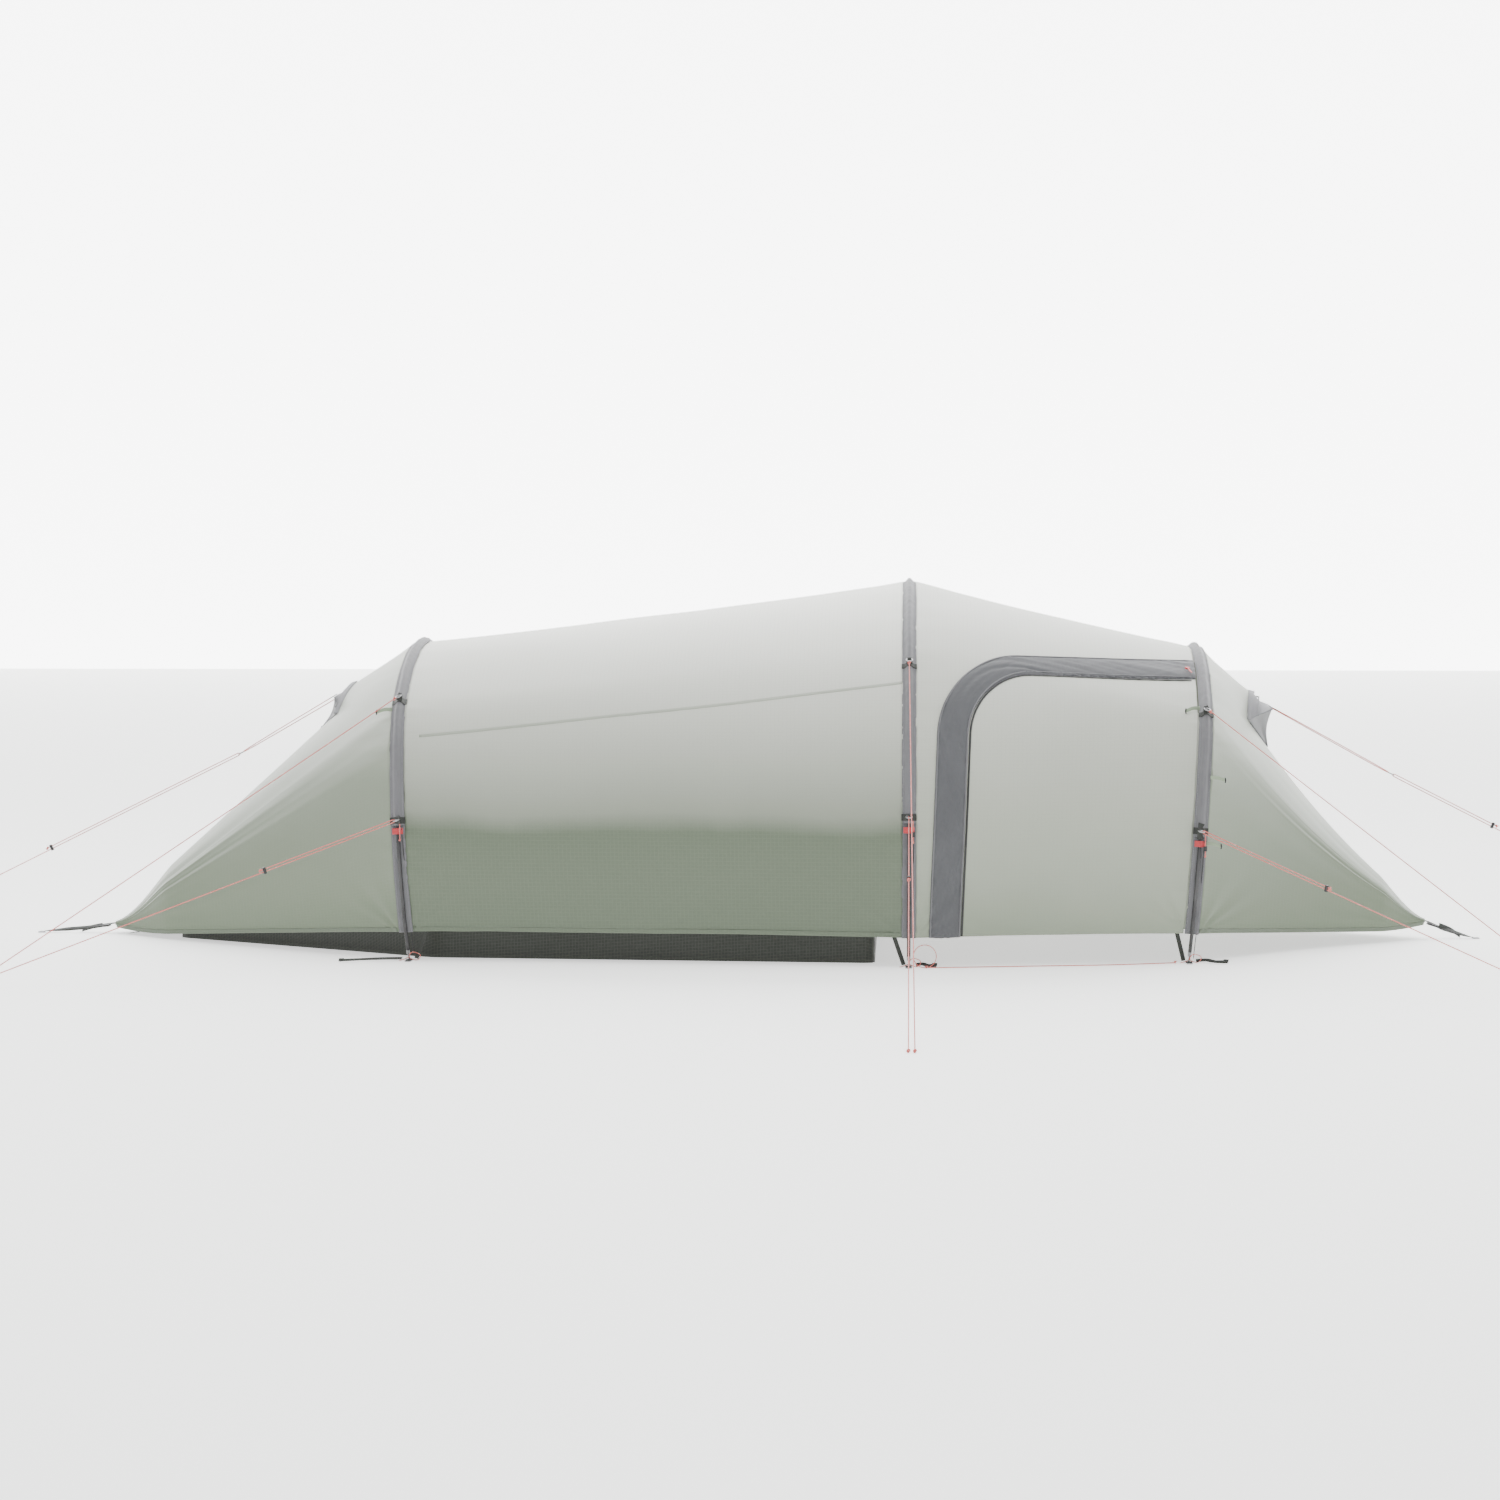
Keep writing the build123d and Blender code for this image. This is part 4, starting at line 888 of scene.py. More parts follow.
class Nose(Panel):
    """A pointed end: the arch's profile shrinking to the tip, with a raised top panel between two creases."""

    def __init__(self, end, seed):
        arch = ARCHES[end]
        self.end, self.arch, self.out, self.seed = end, arch, OUTWARD[end], seed
        self.flip = 1.0
        self.ends = ((arch, 0), (arch, 0))
        self.outward = -PANEL_INSET
        stop = arch.angle_at(HEM_Z, -PANEL_INSET)
        self.stops = [stop, stop]
        start = arch.x + self.out * PANEL_EDGE
        stations = ((arch.x, 1.0, 0.0), *NOSE_STATIONS[end])
        tip = stations[-1][0]
        self.span = abs(tip - start)
        shares = [0.0] + [(x - start) / (tip - start) for x, _, _ in stations[1:]]
        self.scale = np.polyfit(shares, [scale for _, scale, _ in stations], len(stations) - 1)
        self.lift = np.polyfit(shares, [lift for _, _, lift in stations], len(stations) - 1)
        self.start, self.tip = start, tip
        self.hood = None
        self.place_hood()
        self.flip = outward_sign(self)

    def base(self, u, w):
        x = self.start + (self.tip - self.start) * u
        scale, lift = np.polyval(self.scale, u), np.polyval(self.lift, u)
        rel = self.arch.at(self.angles(0, w), self.outward) - np.array([self.arch.x, 0, 0])
        return np.stack([x + scale * rel[..., 0], scale * rel[..., 1], lift + scale * rel[..., 2]], axis=-1)

    def nearest(self, target, side=True):
        u, w = np.meshgrid(np.linspace(0, 1, 400), np.linspace(0, 2, 400) if side else np.zeros(1),
                           indexing="ij")
        gap = np.linalg.norm(self.base(u, w) - np.array(target), axis=-1)
        k = np.unravel_index(gap.argmin(), gap.shape)
        return u[k], w[k]

    def place_hood(self):
        hood = HOOD[self.end]
        u = np.linspace(0, 1, 2000)
        ridge = self.base(u, 0 * u)
        top = np.abs(ridge[:, 0] - hood["top"][0]).argmin()
        low = np.abs(ridge[:, 0] - hood["bottom"][0]).argmin()
        corner_u, corner_w = self.nearest(hood["corner"])
        arch_w = 1.25
        self.hood = {"top_u": u[top], "low_u": u[low], "corner": (corner_u, corner_w), "arch_w": arch_w,
                     "rise": hood["top"][1] - ridge[top, 2], "foot": ridge[low]}

    def above_rim(self, u, w):
        """Distance in the flat coordinates uphill of the hood's rim."""
        h = self.hood
        rim = h["top_u"] + (h["corner"][0] - h["top_u"]) * np.minimum(np.abs(w) / h["corner"][1], 1.0)
        return (rim - u) * self.span

    def kite(self, u, w):
        """Positive inside the vent: between the rim and the two lower edges."""
        h = self.hood
        (cu, cw), low = h["corner"], h["low_u"]
        q = np.abs(w) / cw
        lower = low + (cu - low) * q
        return np.minimum(-self.above_rim(u, w), (lower - u) * self.span)

    def bump(self, u, w):
        h = self.hood
        (cu, cw), low, top = h["corner"], h["low_u"], h["top_u"]
        size = np.abs(w)
        rim = top + (cu - top) * np.minimum(size / cw, 1.0)
        share = np.clip(u / rim, 0, 1)
        crease = h["arch_w"] + (cw - h["arch_w"]) * share
        uphill = share ** 1.15 * np.clip(1 - (size / crease) ** 2, 0, 1)
        q = np.clip(size / cw, 0, 1)
        lower = low + (cu - low) * q
        downhill = np.clip((lower - u) / np.maximum(lower - rim, 1e-4), 0, 1) * (1 - q ** 2)
        return h["rise"] * np.where(u <= rim, uphill, downhill)

    def raw(self, u, w):
        point = self.base(u, w)
        if self.hood is not None:
            point = point + np.stack([0 * u, 0 * u, self.bump(u, w)], axis=-1)
        return point

    def from_hem(self, end, w):
        total = self.arch.length(self.stops[0])
        knots = [0, self.arch.length(CREST_ANGLE), self.arch.length(SHOULDER_ANGLE), total]
        return total - np.interp(np.abs(w), [0, 1, 2, 3], knots)

    def at(self, u, w, lift=0.0):
        point, normal = self.raw(u, w), self.normal(u, w) * self.flip
        draw = np.clip((u - 0.80) / 0.20, 0, 1) ** 1.6 * 0.78
        aim = np.array([0.0, 0.0, NOSE_TIP_Z[self.end]])
        point = point + (aim - point) * draw[..., None] * np.array([0.0, 0.55, 1.0])
        scale = np.polyval(self.scale, u)
        s = self.from_hem(0, w) * np.maximum(scale, 0.05)
        a = u * self.span
        out = 0.0016 * ripple(s * np.sign(w), a, 0.018, 0.10, self.seed) * np.exp(-a / 0.035)
        out = out + 0.0020 * ripple(s * np.sign(w), a, 0.06, 0.25, self.seed + 1) * np.exp(-a / 0.12)
        out = out + fan(a, s, (0, 0), math.radians(50), math.radians(40), 3.0, 0.13, 0.005, self.seed)
        out = out + 0.0030 * ripple(w * 1.3, a, 0.55, 0.9, self.seed + 3) * np.clip(scale, 0, 1)
        out = out + 0.0022 * ripple(w * 3.0, a, 0.5, 1.6, self.seed + 4) * np.clip(u, 0,
                1) * np.clip(scale * 3, 0, 1)
        out = out + 0.0006 * (s < 0.016)
        edge = np.clip(np.abs(self.kite(u, w)) / 0.02, 0, 1)
        rise = lift + out * (0.25 + 0.75 * edge)
        return point + normal * rise[..., None]


REAR_PANEL = ClothPanel("rear", "middle", 3.0)
PORCH_PANEL = ClothPanel("middle", "front", 11.0, sag=0.005)
NOSES = {"rear": Nose("rear", 21.0), "front": Nose("front", 33.0)}


def make_rear_sheet():
    domain, faces = domain_grid(REAR_PANEL, 150, (26, 26, 66))
    obj = cloth("rear_flysheet", REAR_PANEL, domain, faces, inward=-REAR_PANEL.flip)
    finish_piece(obj, MAT["fly"], "tent", "flysheet_fabric", "rear_roof_panel", "rear_side_panels")


def door_field(inset_side, inset_top):
    """Positive inside the door's outline, seen from the side, shrunk by the insets."""
    def field(u, w):
        point = PORCH_PANEL.raw(u, w)
        x, z = point[..., 0], point[..., 2]
        lean = (z - DOOR_LOW_Z) / (DOOR_TOP_Z[0] - DOOR_LOW_Z)
        back = DOOR_BACK_X + inset_side + DOOR_LEAN_X * lean
        share = (x - DOOR_BACK_X - DOOR_LEAN_X) / (DOOR_FRONT_X - DOOR_BACK_X - DOOR_LEAN_X)
        top = DOOR_TOP_Z[0] + (DOOR_TOP_Z[1] - DOOR_TOP_Z[0]) * share - inset_top
        r = DOOR_CORNER_R - inset_top
        a, b = r - (x - back), r - (top - z)
        return r - (np.hypot(np.maximum(a, 0), np.maximum(b, 0)) + np.minimum(np.maximum(a, b), 0))
    return field


def make_porch():
    domain, faces = domain_grid(PORCH_PANEL, 96, (30, 30, 80))
    outline = door_field(0.0, 0.0)
    domain, faces = clip(domain, faces, lambda u, w: -outline(u, w))
    obj = cloth("porch_flysheet", PORCH_PANEL, domain, faces, inward=-PORCH_PANEL.flip)
    finish_piece(obj, MAT["fly_porch"], "tent", "flysheet_fabric", "porch_canopy")


def front_edge(u, w):
    return (1 - u) * PORCH_PANEL.span - 0.006


def make_door(side, name):
    domain, faces = domain_grid(PORCH_PANEL, 96, (30, 30, 80), side)
    domain, faces = clip(domain, faces, door_field(0.003, 0.003))
    domain, faces = clip(domain, faces, front_edge)
    door = cloth(f"door_{name}", PORCH_PANEL, domain, faces, inward=-PORCH_PANEL.flip)
    finish_piece(door, MAT["fly_porch"], f"side_door_{name}", "flysheet_fabric", f"side_door_{name}")


FLAP_SIDE = 0.086
FLAP_TOP = 0.048
FLAP_LIFT = 0.0030


def make_flap(side, name):
    """The strip that covers the zip, wrinkled where the zip draws it in."""
    domain, faces = domain_grid(PORCH_PANEL, 190, (60, 60, 180), side)
    outer, inner = door_field(-0.008, -0.006), door_field(FLAP_SIDE, FLAP_TOP)
    domain, faces = clip(domain, faces, outer)
    domain, faces = clip(domain, faces, lambda u, w: -inner(u, w))
    domain, faces = clip(domain, faces, front_edge)
    domain, faces = compact(domain, faces)
    u, w = domain[:, 0], domain[:, 1]
    point = PORCH_PANEL.raw(u, w)
    out, inn = outer(u, w), -inner(u, w)
    along = point[:, 2] - point[:, 0]
    share = np.clip(out / (out + inn + 1e-9), 0, 1)
    edge = np.clip(np.minimum(out, inn) / 0.008, 0, 1)
    folds = 0.0019 * ripple(along + 0.35 * share, share, 0.030, 0.55, 51 + side)
    folds += 0.0011 * ripple(along - 0.2 * share, share, 0.012, 0.7, 53 + side)
    crown = 0.0045 * np.sin(math.pi * share) ** 0.8
    lift = FLAP_LIFT + (crown + folds) * (0.35 + 0.65 * edge) - 0.0006 * (np.abs(share - 0.5) > 0.44)
    uv = np.stack([along, share * 0.086], axis=1)
    obj = link_mesh(f"flap_{name}", PORCH_PANEL.at(u, w, lift), faces, uv)
    solidify(obj, 0.0010, -PORCH_PANEL.flip)
    bake(obj)
    finish_piece(obj, MAT["flap"], f"side_door_{name}", "sleeve_fabric", f"zip_flap_{name}")
    for label, inset_side, inset_top, lift_by, half in (("outer", -0.0045, -0.003, 0.0046, 0.0022),
                                                       ("inner", FLAP_SIDE - 0.004, FLAP_TOP - 0.004,
                                                        0.0046, 0.0022)):
        path = outline_path(inset_side, inset_top, side)
        piece = ribbon(f"flap_{label}_edge_{name}", path, half * 2, 0.0012, lift_by)
        finish_piece(piece, MAT["grey"], f"side_door_{name}", "sleeve_fabric")
    # the zip's own teeth along the flap's inner edge
    path = outline_path(FLAP_SIDE + 0.004, FLAP_TOP + 0.004, side)
    piece = ribbon(f"zip_tape_{name}", path, 0.006, 0.0016, 0.0012, ribs=True)
    finish_piece(piece, MAT["plastic"], f"side_door_{name}", "black_plastic")


def outline_path(inset_side, inset_top, side, step=0.010):
    """Places (u, w) along the door's outline: up the rear edge from the hem, then forward to the arch."""
    back = DOOR_BACK_X + inset_side
    lean_x = back + DOOR_LEAN_X
    rear_top, front_top = (z - inset_top for z in DOOR_TOP_Z)
    r = DOOR_CORNER_R - inset_top
    up = unit(np.array([DOOR_LEAN_X, rear_top - DOOR_LOW_Z]))
    forward = unit(np.array([DOOR_FRONT_X - lean_x, front_top - rear_top]))
    corner = np.array([lean_x, rear_top])
    half = math.acos(float(-up @ forward)) / 2
    reach = r / math.tan(half)
    a, b = corner - up * reach, corner + forward * reach
    centre = corner + unit(forward - up) * r / math.sin(half)
    low = np.array([back + DOOR_LEAN_X * (HEM_Z + 0.002 - DOOR_LOW_Z) / (rear_top - DOOR_LOW_Z),
                    HEM_Z + 0.002])
    first, last = math.atan2(*(a - centre)[::-1]), math.atan2(*(b - centre)[::-1])
    if first < 0:
        first += 2 * math.pi
    if last < 0:
        last += 2 * math.pi
    count = max(3, int(np.linalg.norm(a - low) / step))
    points = [low + (a - low) * t for t in np.linspace(0, 1, count, endpoint=False)]
    count = max(3, int(abs(last - first) * r / step))
    points += [centre + r * np.array([math.cos(t), math.sin(t)]) for t in np.linspace(first, last, count,
            endpoint=False)]
    end = corner + forward * ((1.362 - lean_x) / forward[0])
    count = max(3, int(np.linalg.norm(end - b) / step))
    points += [b + (end - b) * t for t in np.linspace(0, 1, count)]
    points = np.array(points)
    u, w = PORCH_PANEL.solve(points[:, 0], points[:, 1], side)
    return PORCH_PANEL, u, w


def ribbon(name, path, width, thickness, lift, ribs=False):
    """A narrow strip that lies on a panel along a path of (u, w)."""
    panel, u, w = path
    centre = panel.at(u, w, lift)
    normal = panel.normal(u, w) * panel.flip
    tangent = np.gradient(centre, axis=0)
    tangent /= np.linalg.norm(tangent, axis=1, keepdims=True) + 1e-12
    across = np.cross(normal, tangent)
    across /= np.linalg.norm(across, axis=1, keepdims=True) + 1e-12
    length = np.concatenate([[0], np.cumsum(np.linalg.norm(np.diff(centre, axis=0), axis=1))])
    profile = ((-0.5, 0.0), (-0.46, 0.6), (-0.2, 1.0), (0.2, 1.0), (0.46, 0.6), (0.5, 0.0), (0.4, -0.6),
               (-0.4, -0.6))
    bumpy = 0.75 + 0.25 * np.cos(length / 0.004 * 2 * math.pi) if ribs else 1.0 + 0 * length
    rows = [centre + across * (a * width) + normal * (b * thickness * bumpy)[:, None] for a, b in profile]
    points = np.stack(rows, axis=1)
    n, m = points.shape[:2]
    faces = [[i * m + k, i * m + (k + 1) % m, (i + 1) * m + (k + 1) % m, (i + 1) * m + k]
             for i in range(n - 1) for k in range(m)]
    faces += [list(range(m)), [(n - 1) * m + k for k in reversed(range(m))]]
    uv = np.stack([np.repeat(length, m), np.tile([a * width for a, _ in profile], n)], axis=1)
    obj = link_mesh(name, points.reshape(-1, 3), faces, uv)
    fix_normals(obj)
    return obj


def fix_normals(obj):
    work = bmesh.new()
    work.from_mesh(obj.data)
    bmesh.ops.recalc_face_normals(work, faces=work.faces)
    work.to_mesh(obj.data)
    work.free()


make_rear_sheet()
make_porch()
for side, name in ((-1, "near"), (1, "far")):
    make_door(side, name)
    make_flap(side, name)


def make_points():
    for end, nose in NOSES.items():
        domain, faces = domain_grid(nose, 120, (34, 34, 60))
        domain, faces = clip(domain, faces, lambda u, w: -nose.kite(u, w))
        obj = cloth(f"{end}_point", nose, domain, faces, inward=-nose.flip)
        finish_piece(obj, MAT["fly_nose"], "tent", "flysheet_fabric", f"{end}_nose")


make_points()


def make_seams():
    """The folded seam along each side of the rear section, and the bound hems."""
    for side, name in ((-1, "near"), (1, "far")):
        x = np.linspace(ARCHES["rear"].x + 0.030, ARCHES["middle"].x - 0.02, 150)
        share = (x - REAR["x"]) / (MIDDLE["x"] - REAR["x"])
        z = SEAM_Z[0] + (SEAM_Z[1] - SEAM_Z[0]) * share
        u, w = REAR_PANEL.solve(x, z, side)
        piece = ribbon(f"roof_seam_{name}", (REAR_PANEL, u, w), 0.010, 0.0009, 0.0006)
        finish_piece(piece, MAT["fly_nose"], "tent", "flysheet_fabric")
        # the fly's own edge tape, behind the front edge of the door
        w = side * np.linspace(1.2, 2.98, 120)
        edge = (PORCH_PANEL, np.full_like(w, 1 - 0.006 / PORCH_PANEL.span), w)
        piece = ribbon(f"door_edge_tape_{name}", edge, 0.024, 0.0010, -0.0040)
        finish_piece(piece, MAT["fly_porch"], "tent", "flysheet_fabric")
        for panel, label in ((REAR_PANEL, "rear"), (NOSES["rear"], "rear_point"),
                             (NOSES["front"], "front_point")):
            u = np.linspace(0.004, 0.996, 170)
            piece = ribbon(f"hem_{label}_{name}", (panel, u, np.full_like(u, side * 2.985)), 0.014, 0.0008,
                           0.0005)
            finish_piece(piece, MAT["fly"], "tent", "flysheet_fabric")


make_seams()


# ---------------------------------------------------------------- sleeves, flat strips and what sits on them
def sleeve_height(name, t, angle, mouth=None):
    """Height over the pole line across a sleeve; t runs from -1 to 1 across its width."""
    bell = np.exp(-(np.abs(t) / 0.50) ** 2.6)
    flat = -0.0056 + 0 * t
    return flat + 0.0133 * bell


def arch_strip(name, arch, low, high, height, half_width, thickness, step=0.006, across=15, seed=0.0,
               rough=0.0004,
               side=1, lips=True):
    """A closed strip along an arch between two signed angles; height(t) lifts its outer face."""
    run_length = arch.length(high) * (1 if high > 0 else -1) - arch.length(low) * (1 if low > 0 else -1)
    count = max(4, int(abs(run_length) / step))
    angles = np.linspace(low, high, count)
    t = np.linspace(-1, 1, across)
    aa, tt = np.meshgrid(angles, t, indexing="ij")
    length = np.array([arch.length(a) * (1 if a > 0 else -1) for a in angles])
    ll = np.repeat(length[:, None], across, axis=1)
    wrinkle = rough * 2.2 * ripple(ll, tt, 0.022, 0.8, seed) + rough * 2.0 * ripple(ll, tt, 0.09, 0.7,
            seed + 3)
    top = height(tt, aa) + wrinkle * (1 - 0.5 * np.abs(tt))
    shift = tt * half_width * (1 + 0.02 * ripple(ll, tt * 0 + 1, 0.05, 1, seed + 9))
    normal = np.stack([0 * aa, np.sign(aa) * np.sin(np.abs(aa)), np.cos(aa)], axis=-1)
    lean = arch.lean
    out = np.stack([normal[..., 2] * math.sin(lean), normal[..., 1], normal[..., 2] * math.cos(lean)],
                   axis=-1)
    along = np.array([math.cos(lean), 0, -math.sin(lean)])
    base = arch.at(aa)
    outer = base + out * top[..., None] + along * shift[..., None]
    under = thickness if callable(thickness) else (lambda tt_, aa_: top - thickness)
    inner = base + out * under(tt, aa)[..., None] + along * shift[..., None]
    loop = np.concatenate([outer, inner[:, ::-1]], axis=1)
    n, m = loop.shape[:2]
    faces = [[i * m + k, i * m + (k + 1) % m, (i + 1) * m + (k + 1) % m, (i + 1) * m + k]
             for i in range(n - 1) for k in range(m)]
    faces += [list(range(m)), [(n - 1) * m + k for k in reversed(range(m))]]
    flat = np.concatenate([tt * half_width, tt[:, ::-1] * half_width], axis=1)
    uv = np.stack([np.repeat(length, m), flat.ravel()], axis=1)
    obj = link_mesh(name, loop.reshape(-1, 3), faces, uv)
    fix_normals(obj)
    return obj


def join(name, pieces):
    """Joins several pieces into one."""
    bpy.ops.object.select_all(action="DESELECT")
    for piece in pieces:
        piece.select_set(True)
    bpy.context.view_layer.objects.active = pieces[0]
    bpy.ops.object.join()
    pieces[0].name = name
    return pieces[0]


def make_sleeves():
    strips = []
    for k, name in enumerate(NAMES):
        arch = ARCHES[name]
        stop = arch.angle_at(BAND_Z[name][1]) + math.radians(0.25)
        hem = arch.angle_at(HEM_Z - 0.004)
        sleeve = arch_strip(f"sleeve_{name}", arch, -stop, stop, lambda t, a: sleeve_height(name, t, a),
                            SLEEVE_HALF_WIDTH,
                            lambda t, a: -0.0072 + 0 * t, seed=60 + 5 * k, rough=0.0005)
        finish_piece(sleeve, MAT["grey"], "tent", "sleeve_fabric", f"{name}_sleeve")
        for side in SIDES:
            low, high = sorted((side * stop, side * hem))
            strips.append(arch_strip(f"strip_{name}_{side}", arch, low, high, lambda t, a: -0.0058 + 0 * t,
                                     SLEEVE_HALF_WIDTH, 0.0014, seed=80 + 5 * k + side, rough=0.0006))
    strip = join("flat_strips", strips)
    finish_piece(strip, MAT["grey"], "tent", "sleeve_fabric", "sleeve_strips")
    stitches = []
    for name in NAMES:
        arch = ARCHES[name]
        hem = arch.angle_at(HEM_Z)
        for edge in (-1, 1):
            stitches.append(stitch_line(arch, -hem, hem, edge * (SLEEVE_HALF_WIDTH - 0.004)))
    stitch = join("sleeve_stitching", stitches)
    finish_piece(stitch, MAT["grey_thread"], "tent", "sleeve_fabric")


def stitch_line(arch, low, high, shift, lift=-0.0047, pitch=0.0045):
    """A row of short raised stitches along an arch."""
    total = arch.length(high) + arch.length(low)
    count = int(total / pitch)
    work = bmesh.new()
    angles = np.interp((np.arange(count) + 0.5) / count, [0, 1], [low, high])
    for a in angles:
        place = arch.at(a, lift, shift)
        ahead = arch.at(a + 0.002, lift, shift)
        along = Vector(ahead - place).normalized()
        up = Vector((0.0, math.copysign(math.sin(abs(a)), a), math.cos(a))).normalized()
        side = along.cross(up)
        corners = [Vector(place) + along * (da * pitch * 0.34) + side * (ds * 0.0005) + up * (du * 0.0006)
                   for da, ds, du in ((-1, -1, 0), (-1, 1, 0), (1, 1, 0), (1, -1, 0), (-0.6, 0, 1),
                                      (0.6, 0, 1))]
        v = [work.verts.new(c) for c in corners]
        for face in ((0, 1, 4), (1, 2, 5, 4), (2, 3, 5), (3, 0, 4, 5), (3, 2, 1, 0)):
            work.faces.new([v[i] for i in face])
    mesh = bpy.data.meshes.new("stitches")
    work.to_mesh(mesh)
    work.free()
    obj = bpy.data.objects.new("stitches", mesh)
    bpy.context.collection.objects.link(obj)
    return obj


MAT["grey_thread"] = moulded("grey_thread", (0.22, 0.22, 0.235), 0.7, 0.2)
make_sleeves()


def strap(name, points, widths, thickness, across_hint, twist=0.0, closed_ends=True):
    """Webbing along a smooth line of points; across_hint is the way its width lies, at each point or once."""
    points = np.array([np.array(p, float) for p in points])
    hints = np.array(across_hint, float)
    if hints.ndim == 1:
        hints = np.repeat(hints[None], len(points), axis=0)
    t = np.linspace(0, 1, len(points))
    fine = np.linspace(0, 1, max(6 * (len(points) - 1) + 1, 7))
    line = np.stack([smooth_line(t, points[:, k], fine) for k in range(3)], axis=1)
    hint = np.stack([np.interp(fine, t, hints[:, k]) for k in range(3)], axis=1)
    width = np.interp(fine, t, np.broadcast_to(np.asarray(widths, float), (len(points),)))
    tangent = np.gradient(line, axis=0)
    tangent /= np.linalg.norm(tangent, axis=1, keepdims=True) + 1e-12
    hint = hint - tangent * np.sum(hint * tangent, axis=1, keepdims=True)
    hint /= np.linalg.norm(hint, axis=1, keepdims=True) + 1e-12
    normal = np.cross(tangent, hint)
    profile = ((-0.5, -0.2), (-0.47, 0.5), (-0.25, 0.5), (0.0, 0.5), (0.25, 0.5), (0.47, 0.5), (0.5, -0.2),
               (0.47, -0.5),
               (0.0, -0.5), (-0.47, -0.5))
    rows = [line + hint * (a * width)[:, None] + normal * (b * thickness) for a, b in profile]
    loop = np.stack(rows, axis=1)
    n, m = loop.shape[:2]
    faces = [[i * m + k, i * m + (k + 1) % m, (i + 1) * m + (k + 1) % m, (i + 1) * m + k]
             for i in range(n - 1) for k in range(m)]
    faces += [list(range(m)), [(n - 1) * m + k for k in reversed(range(m))]]
    length = np.concatenate([[0], np.cumsum(np.linalg.norm(np.diff(line, axis=0), axis=1))])
    uv = np.stack([np.repeat(length, m), np.tile([a * 0.02 for a, _ in profile], n)], axis=1)
    obj = link_mesh(name, loop.reshape(-1, 3), faces, uv)
    fix_normals(obj)
    return obj


def smooth_line(t, values, fine):
    """A smooth curve through values at t (Catmull-Rom)."""
    out = np.empty_like(fine)
    for i, f in enumerate(fine):
        k = min(max(int(np.searchsorted(t, f, side="right")) - 1, 0), len(t) - 2)
        h = t[k + 1] - t[k]
        x = (f - t[k]) / h
        before = values[k - 1] if k > 0 else 2 * values[k] - values[k + 1]
        after = values[k + 2] if k + 2 < len(t) else 2 * values[k + 1] - values[k]
        m0, m1 = (values[k + 1] - before) / 2, (after - values[k]) / 2
        out[i] = ((2 * x ** 3 - 3 * x ** 2 + 1) * values[k] + (x ** 3 - 2 * x ** 2 + x) * m0
                  + (-2 * x ** 3 + 3 * x ** 2) * values[k + 1] + (x ** 3 - x ** 2) * m1)
    return out


def make_bands():
    for level, node in ((0, "upper_bands"), (1, "lower_bands")):
        made = []
        for name in NAMES:
            arch = ARCHES[name]
            for side in SIDES:
                middle = side * band_angle(name, level)
                half = 0.010 / arch.radii[1 if abs(middle) < SHOULDER_ANGLE else 2]
                low, high = sorted((middle - half, middle + half))
                made.append(arch_strip("band", arch, low, high,
                                       lambda t, a: np.maximum(sleeve_height(name, t * 0.98, a) + 0.0016,
                                                               -0.0035), 0.0225,
                                       0.0013, step=0.002, across=19, rough=0.0002))
                made.append(ring_loop(name, side, level, middle))
        obj = join(f"webbing_{node}", made)
        finish_piece(obj, MAT["webbing"], "tent", "webbing", node)


def ring_loop(name, side, level, middle):
    """The webbing loop that holds a guy ring to its band."""
    arch = ARCHES[name]
    seat = ring_seat(name, side, level)
    peg = np.array([PEGS[name][0], -side * PEGS[name][1], CORD_R])
    away = unit(peg - seat)
    wire = seat - away * RING_R
    up = across_line(away)
    reach = RING_WIRE_R + 0.0012
    step = 0.006 / arch.radii[1]
    first, last = arch.at(middle - side * step, 0.0092), arch.at(middle + side * step, 0.0092)
    along = np.array([math.cos(arch.lean), 0, -math.sin(arch.lean)])
    wire_dir = unit(np.cross(up, away))
    if wire_dir @ along < 0:
        wire_dir = -wire_dir
    points = [first, (first + wire + up * reach) / 2, wire + up * reach, wire + away * reach,
              wire - up * reach,
              (last + wire - up * reach) / 2, last]
    hints = [along, along * 0.6 + wire_dir * 0.4, wire_dir, wire_dir, wire_dir,
             along * 0.6 + wire_dir * 0.4, along]
    return strap("loop", points, [0.020, 0.017, 0.013, 0.013, 0.013, 0.017, 0.020], 0.0013, hints)


def make_red_tabs():
    made = []
    for name in NAMES:
        arch = ARCHES[name]
        for side in SIDES:
            middle = side * (arch.angle_at(BAND_Z[name][1]) + math.radians(1.7))
            half = 0.009 / arch.radii[2]
            low, high = sorted((middle - half, middle + half))
            made.append(arch_strip("tab", arch, low, high, lambda t,
                                   a: 0.0064 + 0.0018 * np.exp(-(t / 0.5) ** 2),
                                   0.0165, 0.0014, step=0.002, across=11, rough=0.0004))
    obj = join("red_pull_tabs", made)
    finish_piece(obj, MAT["red_webbing"], "tent", "red_webbing", "sleeve_tabs")


make_bands()
make_red_tabs()


